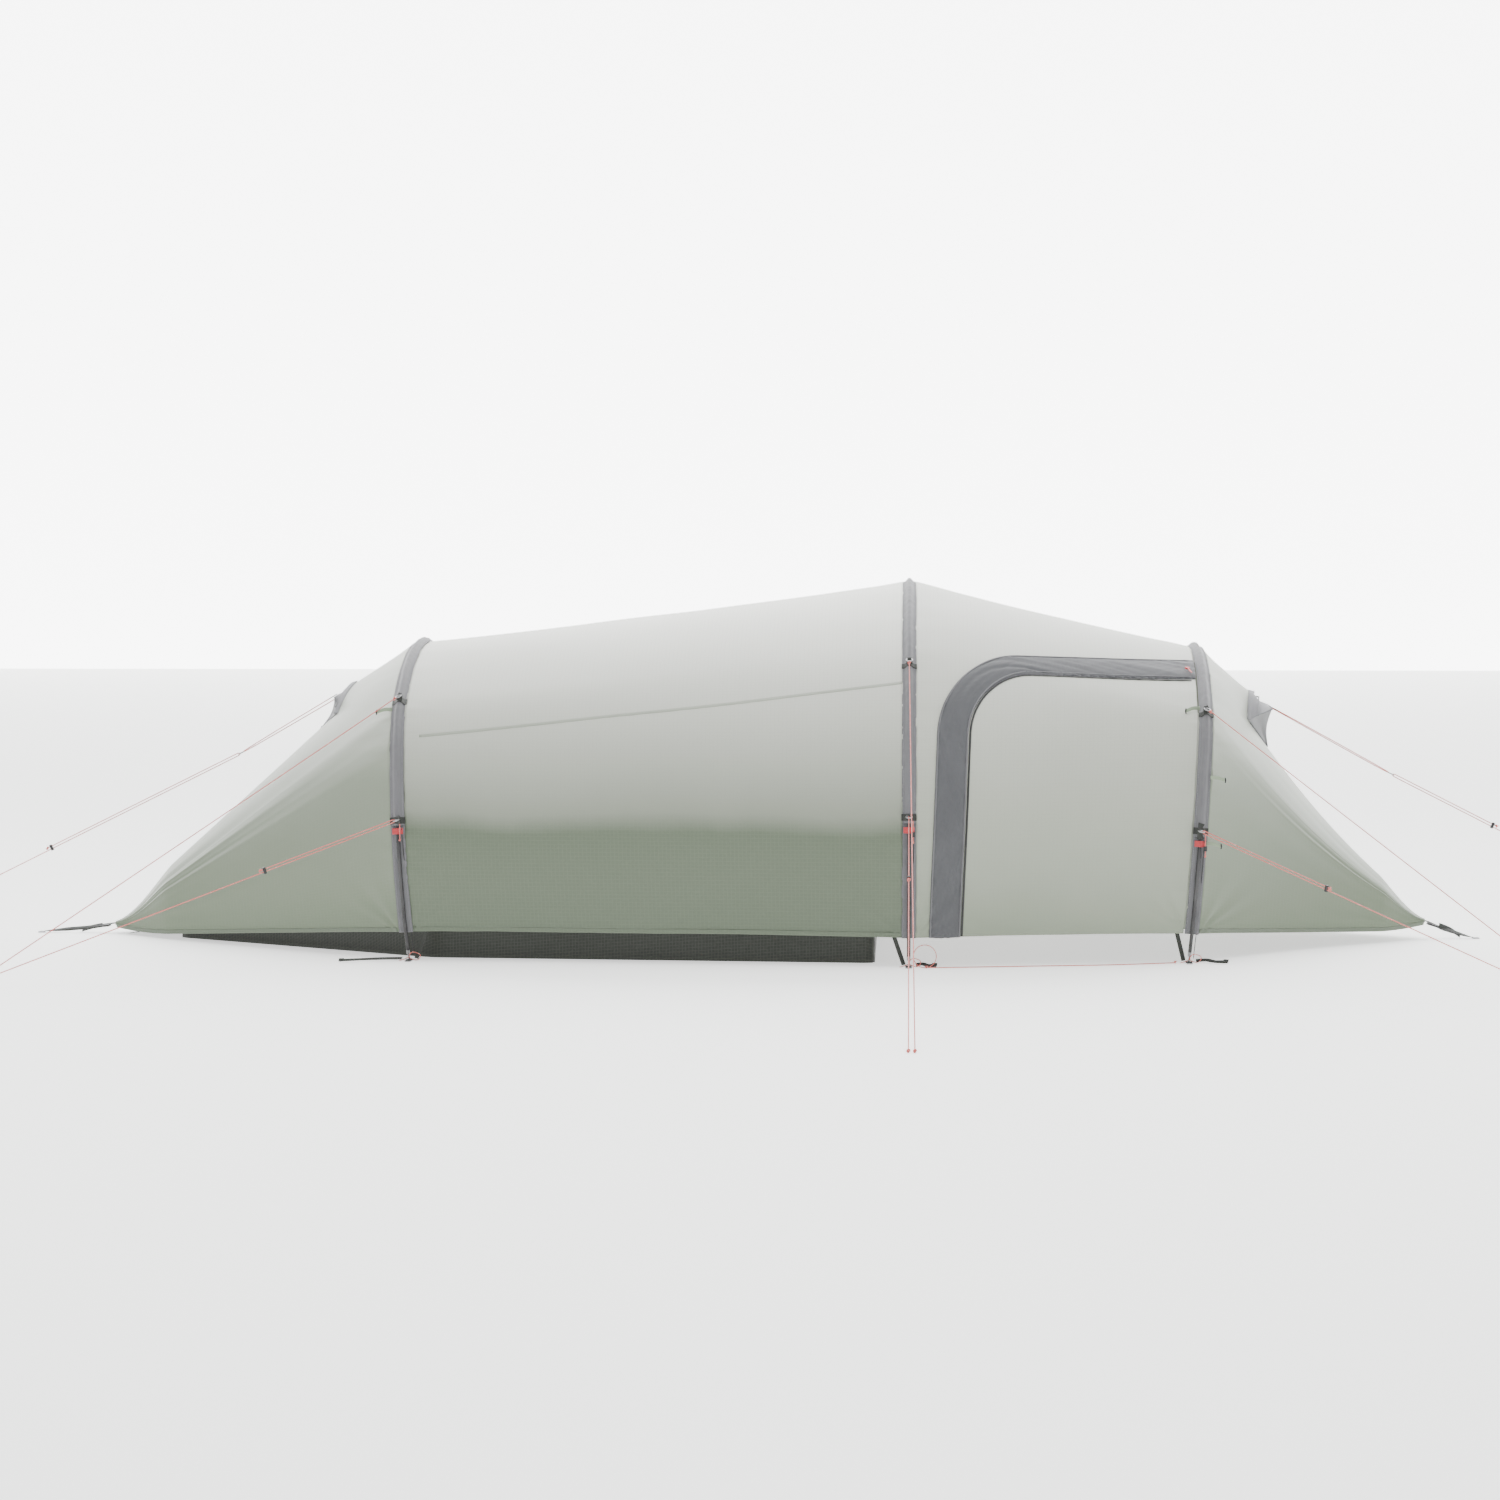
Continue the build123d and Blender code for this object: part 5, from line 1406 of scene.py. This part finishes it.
# ---------------------------------------------------------------- vent hoods
def make_hood(end):
    nose = NOSES[end]
    h, hood, out = nose.hood, HOOD[end], OUTWARD[end]
    (cu, cw), low, top = h["corner"], h["low_u"], h["top_u"]
    rows = 22
    up_w = np.linspace(-cw, cw, 41)
    up_u = top + (cu - top) * np.abs(up_w) / cw
    side_share = np.linspace(0, 1, rows)[:-1]
    side_u, side_w = low + (cu - low) * side_share, cw * side_share
    base_u = np.concatenate([side_u, up_u, side_u[::-1]])
    base_w = np.concatenate([-side_w, up_w, side_w[::-1]])
    base = nose.raw(base_u, base_w) + nose.normal(base_u, base_w) * nose.flip * 0.0022
    tabs = hood_tabs(end)
    lip_near, lip_far = (np.array(tab) + np.array([-out * 0.004, 0, -0.004]) for tab in tabs)
    lip_mid = np.array([hood["lip"][0], 0, hood["lip"][1]])
    foot = h["foot"] + np.array([out * 0.004, 0, 0.002])
    arc = np.linspace(-1, 1, 41)
    bulge = 1 - arc ** 2
    lip_top = (lip_near[None] * (0.5 - arc[:, None] / 2) + lip_far[None] * (0.5 + arc[:, None] / 2)
               + (lip_mid - (lip_near + lip_far) / 2)[None] * bulge[:, None])
    sag = np.sin(math.pi * side_share)[:, None]
    lip_left = foot + (lip_near - foot) * side_share[:, None] + sag * np.array([-out * 0.010, 0.012, 0])
    lip_right = foot + (lip_far - foot) * side_share[:, None] + sag * np.array([-out * 0.010, -0.012, 0])
    lip = np.concatenate([lip_left, lip_top, lip_right[::-1]])
    v = np.linspace(0, 1, 15)
    grid = base[None] + (lip - base)[None] * v[:, None, None]
    length = np.concatenate([[0], np.cumsum(np.linalg.norm(np.diff(lip, axis=0), axis=1))])
    ll, vv = np.meshgrid(length, v)
    normal = np.cross(np.gradient(grid, axis=0), np.gradient(grid, axis=1))
    normal /= np.linalg.norm(normal, axis=-1, keepdims=True) + 1e-9
    if normal[7, len(base) // 2, 2] < 0:
        normal = -normal
    dent = (0.0030 * ripple(ll, vv, 0.07, 0.5,
                            90 + out) - 0.006 * np.sin(math.pi * vv)) * np.sin(math.pi * np.clip(vv, 0, 1))
    grid = grid + normal * dent[..., None]
    uv = np.stack([ll, vv * 0.06], axis=-1)
    obj = grid_object(f"hood_{end}", grid, uv)
    solidify(obj, 0.0012, 0.0, even=False)
    bake(obj)
    # the stiff double rim over the top, and the lip's rolled edge
    rim_line = nose.raw(up_u, up_w) + nose.normal(up_u, up_w) * nose.flip * 0.0040
    rim = strap("rim", rim_line[::2], 0.016, 0.006, np.array([[out, 0, -0.25]] * len(rim_line[::2])))
    inner_rim = strap("rim_inner",
                      (rim_line + (lip[rows - 1:rows - 1 + 41] - base[rows - 1:rows - 1 + 41]) * 0.42)[::2],
                      0.004, 0.0045, np.array([[out, 0, -0.25]] * len(rim_line[::2])))
    roll = bake_curve(tube("lip_roll", [Vector(p) for p in lip_top[::4]], 0.0024, resolution=4))
    whole = join(f"hood_{end}", [obj, rim, inner_rim, roll])
    finish_piece(whole, MAT["hood"], "tent", "sleeve_fabric", f"{end}_vent_hood")
    made = []
    for tab in tabs:
        inner_turn = Vector(VENT_LINES[end]["ring"])
        aim = (inner_turn - Vector(tab)).normalized()
        start = Vector(tab) - aim * 0.014
        made.append(strap("tab", [start, Vector(tab) + aim * 0.004, Vector(tab) + aim * 0.016], 0.011,
                          0.0022, (0, 1, 0)))
    tab_piece = join(f"hood_tabs_{end}", made)
    finish_piece(tab_piece, MAT["webbing"], "tent", "webbing")


def bake_curve(obj):
    """Turns a curve piece into a mesh in place."""
    graph = bpy.context.evaluated_depsgraph_get()
    mesh = bpy.data.meshes.new_from_object(obj.evaluated_get(graph))
    name = obj.name
    fresh = bpy.data.objects.new(name, mesh)
    bpy.context.collection.objects.link(fresh)
    bpy.data.objects.remove(obj)
    return fresh


def make_net(end):
    """The mesh of a vent, under its hood."""
    nose = NOSES[end]
    domain, faces = domain_grid(nose, 260, (80, 80, 20))
    domain, faces = clip(domain, faces, lambda u, w: nose.kite(u, w) + 0.002)
    obj = cloth(f"vent_net_{end}", nose, domain, faces, thickness=0.0008, lift=-0.004, inward=-nose.flip)
    return obj


for end in ("rear", "front"):
    make_hood(end)
nets = join("vent_nets", [make_net("rear"), make_net("front")])
finish_piece(nets, MAT["net"], "tent", "vent_mesh", "vent_meshes")


# ---------------------------------------------------------------- inner tent
TUB_HEIGHT = 0.095
INNER_FRONT_X, INNER_REAR_X, INNER_FOOT_X = 0.400, -0.950, -1.830
TUB_OUTLINE = ((INNER_FRONT_X, 0.790), (INNER_REAR_X, 0.690), (INNER_FOOT_X, 0.140))


WALL_INSET = 0.003   # the tub's wall stands this far inside its outline


def make_groundsheet():
    """The tub: floor and upright walls with rounded corners, slack ripples and a bound top edge."""
    right = [np.array(p) for p in TUB_OUTLINE]
    ring = right + [np.array([p[0], -p[1]]) for p in right[::-1]]
    line = []
    for k, p in enumerate(ring):
        q = ring[(k + 1) % len(ring)]
        count = max(2, int(np.linalg.norm(q - p) / 0.03))
        line += [p + (q - p) * i / count for i in range(count)]
    line = np.array(line)
    smooth = (np.roll(line, 1, axis=0) + line * 2 + np.roll(line, -1, axis=0)) / 4
    n = len(line)
    length = np.arange(n) * 0.03
    centre = np.array([-0.5, 0.0])
    inward = centre - smooth
    inward /= np.linalg.norm(inward, axis=1, keepdims=True)
    rows, heights = [], (0.0006, 0.012, 0.030, 0.050, 0.070, 0.086, 0.0945)
    for k, z in enumerate(heights):
        wave = 0.0026 * ripple(length, 0 * length + z, 0.11, 0.05,
                               120) * math.sin(math.pi * min(1, z / 0.06))
        spot = smooth + inward * (WALL_INSET + np.abs(wave))[:, None]
        rows.append(np.column_stack([spot, np.full(n, z)]))
    for share in (0.04, 0.10, 0.2, 0.35, 0.55, 0.78):
        spot = smooth + (centre - smooth) * share
        z = 0.0010 + 0.0016 * (1 + ripple(spot[:, 0], spot[:, 1], 0.25, 0.22, 123)) * min(1.0, share * 5)
        rows.insert(0, np.column_stack([spot, z]))
    points = np.stack(rows)
    m = points.shape[0]
    flat = points.reshape(-1, 3)
    faces = [[i * n + k, i * n + (k + 1) % n, (i + 1) * n + (k + 1) % n, (i + 1) * n + k]
             for i in range(m - 1) for k in range(n)]
    flat = np.vstack([flat, [[-0.5, 0, 0.002]]])
    faces += [[len(flat) - 1, (k + 1) % n, k] for k in range(n)]
    uv = flat[:, :2] + np.array([0, 1]) * flat[:, 2:3]
    obj = link_mesh("tub_groundsheet", flat, faces, uv)
    solidify(obj, 0.0012, 1.0)
    bake(obj)
    fix_normals(obj)
    floor_clear(obj)
    finish_piece(obj, MAT["ground"], "tent", "groundsheet_fabric", "groundsheet")
    top = [Vector((*(smooth[k] + inward[k] * 0.003), 0.0950)) for k in list(range(0, n, 1)) + [0]]
    binding = strap("tub_binding", top, 0.009, 0.0022, (0, 0, 1))
    finish_piece(binding, MAT["elastic"], "tent", "groundsheet_fabric")


def floor_clear(obj):
    """Keeps a piece on or above the ground."""
    for vertex in obj.data.vertices:
        vertex.co.z = max(vertex.co.z, 0.0)


def rear_section(x):
    rear, middle = ARCHES["rear"], ARCHES["middle"]
    share = (x - rear.x) / (middle.x - rear.x)
    sizes = [getattr(rear, size) + (getattr(middle, size) - getattr(rear, size)) * share
             for size in ("crest", "bulge", "foot", "bulge_z")]
    return Arch(x, 0, *sizes)


INNER_LOW_Z = TUB_HEIGHT + 0.0005
INNER_OUTWARD = -PANEL_INSET - 0.0025 - 0.055
INNER_SECTIONS = (rear_section(INNER_FRONT_X), rear_section(INNER_REAR_X),
                  nose_section("rear", INNER_FOOT_X))


class InnerPanel(Panel):
    """Thin cloth of the inner tent, slack between its hanging points."""

    def __init__(self, first, second, seed):
        super().__init__(first, 0, second, 0, hems=(INNER_LOW_Z, INNER_LOW_Z), outward=INNER_OUTWARD)
        self.span = abs(second.x - first.x)
        self.seed = seed
        self.flip = outward_sign(self)

    def at(self, u, w, lift=0.0):
        point, normal = self.raw(u, w), self.normal(u, w) * self.flip
        s = self.from_hem(0, w) * (1 - u) + self.from_hem(1, w) * u
        fade = np.clip(s / 0.04, 0, 1)
        out = -0.006 * np.abs(np.sin(u * math.pi * 3)) ** 1.5 * fade
        out = out + 0.006 * ripple(u * self.span, s * np.sign(w), 0.16, 0.35, self.seed) * fade
        return point + normal * (out - 0.004)[..., None]


def make_inner():
    made = []
    for k, (a, b) in enumerate(zip(INNER_SECTIONS[:-1], INNER_SECTIONS[1:])):
        panel = InnerPanel(a, b, 140 + k)
        domain, faces = domain_grid(panel, 50, (14, 14, 26))
        made.append(cloth("inner", panel, domain, faces, inward=-panel.flip))
    obj = join("inner_canopy", made)
    finish_piece(obj, MAT["inner"], "tent", "inner_fabric", "inner_tent")


INNER_DOOR_LOW_Z = TUB_HEIGHT + 0.040
INNER_DOOR_WIDTH, INNER_DOOR_HEIGHT, INNER_DOOR_CORNER = 0.800, 0.720, 0.240
WALL_X = INNER_FRONT_X + 0.0005


def door_depth(y, z, gap):
    """Positive inside the inner door's rounded outline, shrunk by a gap."""
    mid = INNER_DOOR_LOW_Z + INNER_DOOR_HEIGHT / 2
    half_w, half_h = INNER_DOOR_WIDTH / 2 - gap, INNER_DOOR_HEIGHT / 2 - gap
    r = INNER_DOOR_CORNER - gap
    a, b = np.abs(y) - half_w + r, np.abs(z - mid) - half_h + r
    return r - (np.hypot(np.maximum(a, 0), np.maximum(b, 0)) + np.minimum(np.maximum(a, b), 0))


def make_wall():
    """The inner tent's front wall and its door, both in soft thin cloth."""
    section = INNER_SECTIONS[0]
    stop = section.angle_at(INNER_LOW_Z, INNER_OUTWARD)
    y, z = np.meshgrid(np.linspace(-0.92, 0.92, 150), np.linspace(INNER_LOW_Z, 1.10, 82), indexing="ij")
    domain = np.stack([y.ravel(), z.ravel()], axis=1)
    faces = [list(f) for f in grid_faces(*y.shape).tolist()]
    angles = np.linspace(-stop, stop, 400)
    edge = section.at(angles, INNER_OUTWARD)
    edge_angle = np.arctan2(edge[:, 1], edge[:, 2] - 0.35)
    edge_reach = np.hypot(edge[:, 1], edge[:, 2] - 0.35)

    def inside(y_, z_):
        turn = np.arctan2(y_, z_ - 0.35)
        return np.interp(turn, edge_angle, edge_reach) - np.hypot(y_, z_ - 0.35)

    def surface(name, domain_, faces_, seed, thickness=0.0011):
        domain_, faces_ = compact(domain_, faces_)
        yy, zz = domain_[:, 0], domain_[:, 1]
        fade = np.clip(np.minimum(inside(yy, zz), np.abs(door_depth(yy, zz, 0.0015))) / 0.05, 0, 1)
        x = WALL_X + 0.0012 + 0.0035 * ripple(yy, zz, 0.20, 0.28, seed) * fade
        obj = link_mesh(name, np.column_stack([x, yy, zz]), faces_, domain_)
        solidify(obj, thickness, 0.0)
        bake(obj)
        fix_normals(obj)
        return obj

    wall_domain, wall_faces = clip(domain, faces, inside)
    wall_domain, wall_faces = clip(wall_domain, wall_faces, lambda a, b: -door_depth(a, b, 0.0))
    wall = surface("inner_front_wall", wall_domain, wall_faces, 151)
    finish_piece(wall, MAT["inner"], "tent", "inner_fabric", "inner_wall")
    door_domain, door_faces = clip(domain, faces, lambda a, b: door_depth(a, b, 0.003))
    door = surface("inner_door_panel", door_domain, door_faces, 152)
    turns = np.linspace(0, 2 * math.pi, 81)
    mid = INNER_DOOR_LOW_Z + INNER_DOOR_HEIGHT / 2
    loop = []
    for turn in turns:
        low, high = 0.0, 0.8
        for _ in range(30):
            r = (low + high) / 2
            if door_depth(np.array(r * math.cos(turn)), np.array(mid + r * math.sin(turn)), 0.006) > 0:
                low = r
            else:
                high = r
        loop.append((WALL_X + 0.0022, low * math.cos(turn), mid + low * math.sin(turn)))
    zip_line = strap("inner_zip", loop, 0.007, 0.0016, [(0, math.cos(t), math.sin(t)) for t in turns])
    finish_piece(zip_line, MAT["plastic"], "inner_door", "black_plastic")
    finish_piece(door, MAT["inner"], "inner_door", "inner_fabric", "inner_door")


make_groundsheet()
make_inner()
make_wall()


# ---------------------------------------------------------------- straps, tails and toggles
STRAP_WIDTH = 0.020
POLE_END_Z = 0.034
HEM_STRAP_DX = {"rear": 0.062, "middle": -0.046, "front": -0.046}
TAIL_TURN = {"rear": (-1, -0.35), "middle": (1, -0.25), "front": (1, -0.35)}
TAIL_LENGTH = {"rear": 0.190, "middle": 0.060, "front": 0.095}


def foot_point(arch, side):
    stop = arch.angle_at(POLE_END_Z)
    start, ahead = arch.at(side * stop), arch.at(side * (stop + math.radians(0.5)))
    down = unit(ahead - start)
    return start + down * (start[2] / -down[2])


def make_foot_straps():
    made, tails = [], []
    for name in NAMES:
        arch = ARCHES[name]
        for side in SIDES:
            foot, out = foot_point(arch, side), np.array([0, side, 0.0])
            hem = arch.at(side * arch.angle_at(HEM_Z),
                          -PANEL_INSET - 0.0055) + np.array([HEM_STRAP_DX[name], 0, 0.006])
            low = np.array([foot[0] + HEM_STRAP_DX[name] * 0.32, foot[1], 0.0045]) - out * 0.012
            middle = (low + hem) / 2 + out * 0.002
            made.append(strap("hem_strap", [low, middle, hem], 0.013, 0.0015, (1, 0, 0)))
            tail_x, tail_y = TAIL_TURN[name]
            way = unit(np.array([tail_x, -side * tail_y, 0]))
            across = unit(np.array([-way[1] * 0.75, way[0] * 0.75, 0.65]))
            start = np.array([foot[0], foot[1], 0.0075]) + out * 0.006 + way * 0.022
            reach = TAIL_LENGTH[name]
            bend = np.array([-way[1], way[0], 0]) * 0.010
            line = [start, start + way * reach * 0.3 + bend + [0, 0, 0.002],
                    start + way * reach * 0.65 - bend * 0.6,
                    start + way * reach + bend * 0.3]
            tails.append(strap("tail", line, [0.012, 0.012, 0.011, 0.013], 0.0015, across))
            end = np.array(line[-1])
            made.append(strap("tail_end",
                              [end - way * 0.012 + [0, 0, 0.0015], end + way * 0.004 + [0, 0, 0.0015]],
                              0.014, 0.0022, across))
    for side in SIDES:
        corner = np.array([INNER_FOOT_X - 0.004, side * 0.112, 0.040])
        made.append(strap("corner_strap",
                          [corner, corner * 0.5 + np.array([INNER_FOOT_X - 0.175, side * 0.066,
                                                            0.006]) * 0.5
                                           - [0, 0, 0.002], [INNER_FOOT_X - 0.175, side * 0.066, 0.006]],
                                           0.012, 0.0015,
                          (0, 1, 0)))
    obj = join("foot_webbing", made + tails)
    floor_clear(obj)
    finish_piece(obj, MAT["webbing"], "tent", "webbing", "foot_straps")


def make_foot_loops():
    """Loose red cord loops tied at each foot's ring."""
    made = []
    for name in NAMES:
        for side in SIDES:
            foot = foot_point(ARCHES[name], side)
            centre = np.array([foot[0] + 0.019, foot[1] + side * 0.020, 0.015])
            turns = []
            for k in range(25):
                turn = 2 * math.pi * k / 24
                offset = (0.017 * math.cos(turn), 0.006 * math.sin(turn) * side,
                          0.0125 * math.sin(turn) + 0.001 * math.cos(3 * turn))
                turns.append(Vector(centre + np.array(offset)))
            made.append(bake_curve(tube("loop", turns, 0.0012, resolution=3)))
            tail = [Vector(centre + np.array([-0.017, 0, -0.002])),
                    Vector(centre + np.array([-0.030, side * 0.010, -0.010])),
                    Vector(centre + np.array([-0.046, side * 0.012, -0.0125]))]
            made.append(bake_curve(tube("loop_end", tail, 0.0012, resolution=3)))
    obj = join("foot_cord_loops", made)
    floor_clear(obj)
    finish_piece(obj, MAT["cord"], "tent", "guy_cord")


def make_foot_tabs():
    made = []
    for name in NAMES:
        for side in SIDES:
            foot = foot_point(ARCHES[name], side)
            work = bmesh.new()
            half_x, half_y = STRAP_WIDTH / 2, 0.023
            hole = Vector((foot[0], foot[1], 0))
            rim, ring = [], []
            for k in range(32):
                turn = 2 * math.pi * k / 32
                c, s = math.cos(turn), math.sin(turn)
                far_y = (half_y + math.copysign(0.008, s) * side) / max(abs(s), 1e-6)
                far = min(half_x / max(abs(c), 1e-6), far_y)
                ring.append(Vector((hole.x + 0.0062 * c, hole.y + 0.0062 * s, 0)))
                rim.append(Vector((hole.x + far * c, hole.y + far * s, 0)))
            top_in = [work.verts.new((p.x, p.y, 0.0025)) for p in ring]
            top_out = [work.verts.new((p.x, p.y, 0.0024)) for p in rim]
            low_in = [work.verts.new((p.x, p.y, 0.0010)) for p in ring]
            low_out = [work.verts.new((p.x, p.y, 0.0010)) for p in rim]
            for k in range(32):
                n = (k + 1) % 32
                work.faces.new((top_in[k], top_out[k], top_out[n], top_in[n]))
                work.faces.new((low_in[n], low_out[n], low_out[k], low_in[k]))
                work.faces.new((top_out[k], low_out[k], low_out[n], top_out[n]))
                work.faces.new((top_in[n], low_in[n], low_in[k], top_in[k]))
            mesh = bpy.data.meshes.new("foot_tab")
            work.to_mesh(mesh)
            work.free()
            piece = bpy.data.objects.new("foot_tab", mesh)
            bpy.context.collection.objects.link(piece)
            made.append(piece)
            # folded end of the tab round the peg ring
            edge = foot[1] + side * 0.030
            ring_y = foot[1] + side * (0.008 + 0.023 + 0.0065 + 0.003 + 0.0005)
            near_wall = ring_y - side * 0.008
            made.append(strap("fold",
                              [(foot[0], edge - side * 0.016, 0.0030),
                               (foot[0], near_wall - side * 0.004, 0.0042),
                                       (foot[0], near_wall + side * 0.0025, 0.0040),
                                       (foot[0], near_wall + side * 0.0030, 0.0020)],
                              0.014, 0.0012, (1, 0, 0)))
    obj = join("foot_tab_webbing", made)
    fix_normals(obj)
    floor_clear(obj)
    finish_piece(obj, MAT["webbing"], "tent", "webbing", "foot_tabs")


TIP_STRAP_START = {"rear": (-2.066, 0.026), "front": (2.146, 0.050)}
TIP_STRAP_END = {"rear": (-2.290, 0.0055), "front": (2.290, 0.0055)}


def make_tip_straps():
    made = []
    for end in ("rear", "front"):
        (x0, z0), (x1, z1) = TIP_STRAP_START[end], TIP_STRAP_END[end]
        out = OUTWARD[end]
        line = [(x0 - out * 0.030, 0, z0 + 0.010), (x0 + out * 0.006, 0, z0 + 0.005),
                (x0 + (x1 - x0) * 0.35, 0, z0 + (z1 - z0) * 0.37),
                (x0 + (x1 - x0) * 0.7, 0, z0 + (z1 - z0) * 0.72), (x1, 0, z1),
                (x1 + out * 0.008, 0, z1 - 0.0010)]
        hints = [(0, 1, 0), (0, 1, 0.1), (0, 0.9, 0.5), (0, 0.9, 0.5), (0, 1, 0), (0, 1, 0)]
        made.append(strap("tip_strap", line, STRAP_WIDTH, 0.0018, hints))
        tail = [(x0 + out * 0.045, 0.002, z0 * 0.78 + 0.004), (x0 + out * 0.080, 0.012, z0 * 0.5 + 0.004),
                (x0 + out * 0.115, 0.026, 0.006)]
        made.append(strap("tip_tail", tail, [0.018, 0.017, 0.015], 0.0014, (0.1, 0.6, 0.7)))
    obj = join("tip_webbing", made)
    floor_clear(obj)
    finish_piece(obj, MAT["webbing"], "tent", "webbing", "tip_straps")


TOGGLES = (("front", 0.760, -1), ("front", 0.365, 1), ("front", 0.560, 1), ("rear", 0.755, -1))


def make_toggles():
    made, bars = [], []
    for name, z, way in TOGGLES:
        arch = ARCHES[name]
        for side in SIDES:
            angle = side * arch.angle_at(z)
            start = arch.at(angle, 0.001, way * SLEEVE_HALF_WIDTH * 0.9)
            finish = start + np.array([way * 0.044, side * (0.010 - 0.014 * way), -0.008])
            middle = (start + finish) / 2 + np.array([0, side * 0.002, 0.004])
            made.append(strap("toggle_loop", [start, middle, finish], [0.012, 0.011, 0.009], 0.0012,
                              (0, -side * 0.3, 1)))
            bars.append(strap("toggle_bar",
                              [finish + [0, 0, 0.008], finish + [way * 0.001, 0, 0],
                               finish - [0, 0, 0.008]],
                              [0.003, 0.0045, 0.003], 0.004, (1, 0, 0)))
    obj = join("door_toggles", made)
    finish_piece(obj, MAT["toggle"], "tent", "toggle_fabric", "toggles")
    pegs = join("toggle_bars", bars)
    finish_piece(pegs, MAT["plastic"], "tent", "toggle_fabric")


make_foot_straps()
make_foot_loops()
make_foot_tabs()
make_tip_straps()
make_toggles()


# ---------------------------------------------------------------- foot elastics, ground cord and tails
LOOP_X = 0.548


def make_elastics():
    made = []
    for name in NAMES:
        arch = ARCHES[name]
        for side in SIDES:
            top = arch.at(side * arch.angle_at(BAND_Z[name][1] - 0.012), 0.006, 0.012)
            low = foot_point(arch, side)
            low = np.array([low[0] + 0.014, low[1] - side * 0.004, 0.012])
            middle = arch.at(side * arch.angle_at(0.2), 0.004, 0.016)
            made.append(bake_curve(tube("elastic", [Vector(top), Vector(middle), Vector(low)], 0.0011,
                                        resolution=10)))
    obj = join("foot_elastics", made)
    floor_clear(obj)
    finish_piece(obj, MAT["elastic"], "tent", "webbing")


def make_ground_cord():
    foot = foot_point(ARCHES["front"], NEAR)
    a, b = porch_ruling(-3.0)
    hem = a + (b - a) * (LOOP_X - a[0]) / (b[0] - a[0])
    y = hem[1] - 0.012 - CORD_R - 0.0012 - 0.0015
    points = [np.array(p) for p in ((LOOP_X + 0.004, y, 0.0022), (0.700, y + 0.022, 0.0022),
                                    (0.900, y + 0.062, 0.0022),
                                    (1.120, y + 0.096, 0.0022), (foot[0] - 0.042, foot[1] - 0.026, 0.0022))]
    knots = [knot("knot_sill_loop", points[0] + [0, 0, 0.0018], points[1] - points[0], 0.0036),
             knot("knot_sill_foot", points[-1] + [0, 0, 0.0018], points[-1] - points[-2], 0.0036)]
    for piece in knots:
        finish_piece(piece, MAT["cord"], "tent", "guy_cord")
    free_cord("ground_cord", "sill_cord", points)


def porch_ruling(w):
    """The ends of the CAD's straight ruling of the porch skin at one place across it."""
    ends = []
    for name, shift in (("middle", 0.022), ("front", -0.022)):
        arch = ARCHES[name]
        stop = arch.angle_at(HEM_Z, -PANEL_INSET)
        angle = np.sign(w) * np.interp(abs(w), [0, 1, 2, 3], [0, CREST_ANGLE, SHOULDER_ANGLE, stop])
        ends.append(arch.at(angle, -PANEL_INSET, shift))
    return ends


TAIL_HANG = {"rear": 0.046, "middle": 0.062, "front": 0.062}
TAIL_DX = {"rear": 0.010, "middle": 0.012, "front": 0.012}


def make_tails():
    """The red cord ends that hang at the lower bands; the two long ones go through a cord lock."""
    cords, knots = [], []
    for name in NAMES:
        top = ARCHES[name].at(NEAR * band_angle(name, 1), BAND_LIFT + BAND_THICKNESS + 0.006 + 0.005)
        top = top + np.array([TAIL_DX[name], 0, -0.012])
        reach = TAIL_HANG[name]
        line = [top + [0, 0, -reach * f] for f in (0.0, 0.3, 0.7, 1.0)]
        knots.append(knot(f"tail_knot_{name}", line[-1] - np.array([0, 0, 0.0015]), np.array([0, 0, 1.0]),
                          0.0030))
        cords.append((name, line, reach))
    for (name, line, reach), end in zip(cords, knots):
        finish_piece(end, MAT["cord"], "tent", "guy_cord")
        obj = tube(f"tail_{name}", [Vector(p) for p in line], CORD_R)
        finish_piece(obj, MAT["cord"], "tent", "guy_cord", "cord_tails")


make_elastics()
make_ground_cord()
make_tails()


# ---------------------------------------------------------------- finishes for the pieces that stay as built
def paint(nodes, mat):
    """Gives carried-over CAD nodes their material. A node that isn't there stops the script."""
    for node in nodes:
        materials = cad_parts[node].data.materials
        materials.clear()
        materials.append(mat)


paint([f"{name}_pole" for name in NAMES], MAT["pole"])
paint(["pole_ferrules"], MAT["ferrule"])
paint(["pole_shock_cords"], MAT["elastic"])
paint(["pole_tips", "foot_eyelets", "tip_rings", "peg_rings", "guy_rings"], MAT["steel"])
paint(["ladder_locks", "runner_rear", "runner_middle", "runner_front", "runner_rear_vent",
       "runner_front_vent",
       "cord_lock_middle", "cord_lock_front"], MAT["plastic"])
paint(["door_peg_loops"], MAT["cord"])
paint(["zip_slider_near", "zip_slider_far"], MAT["zip_red"])
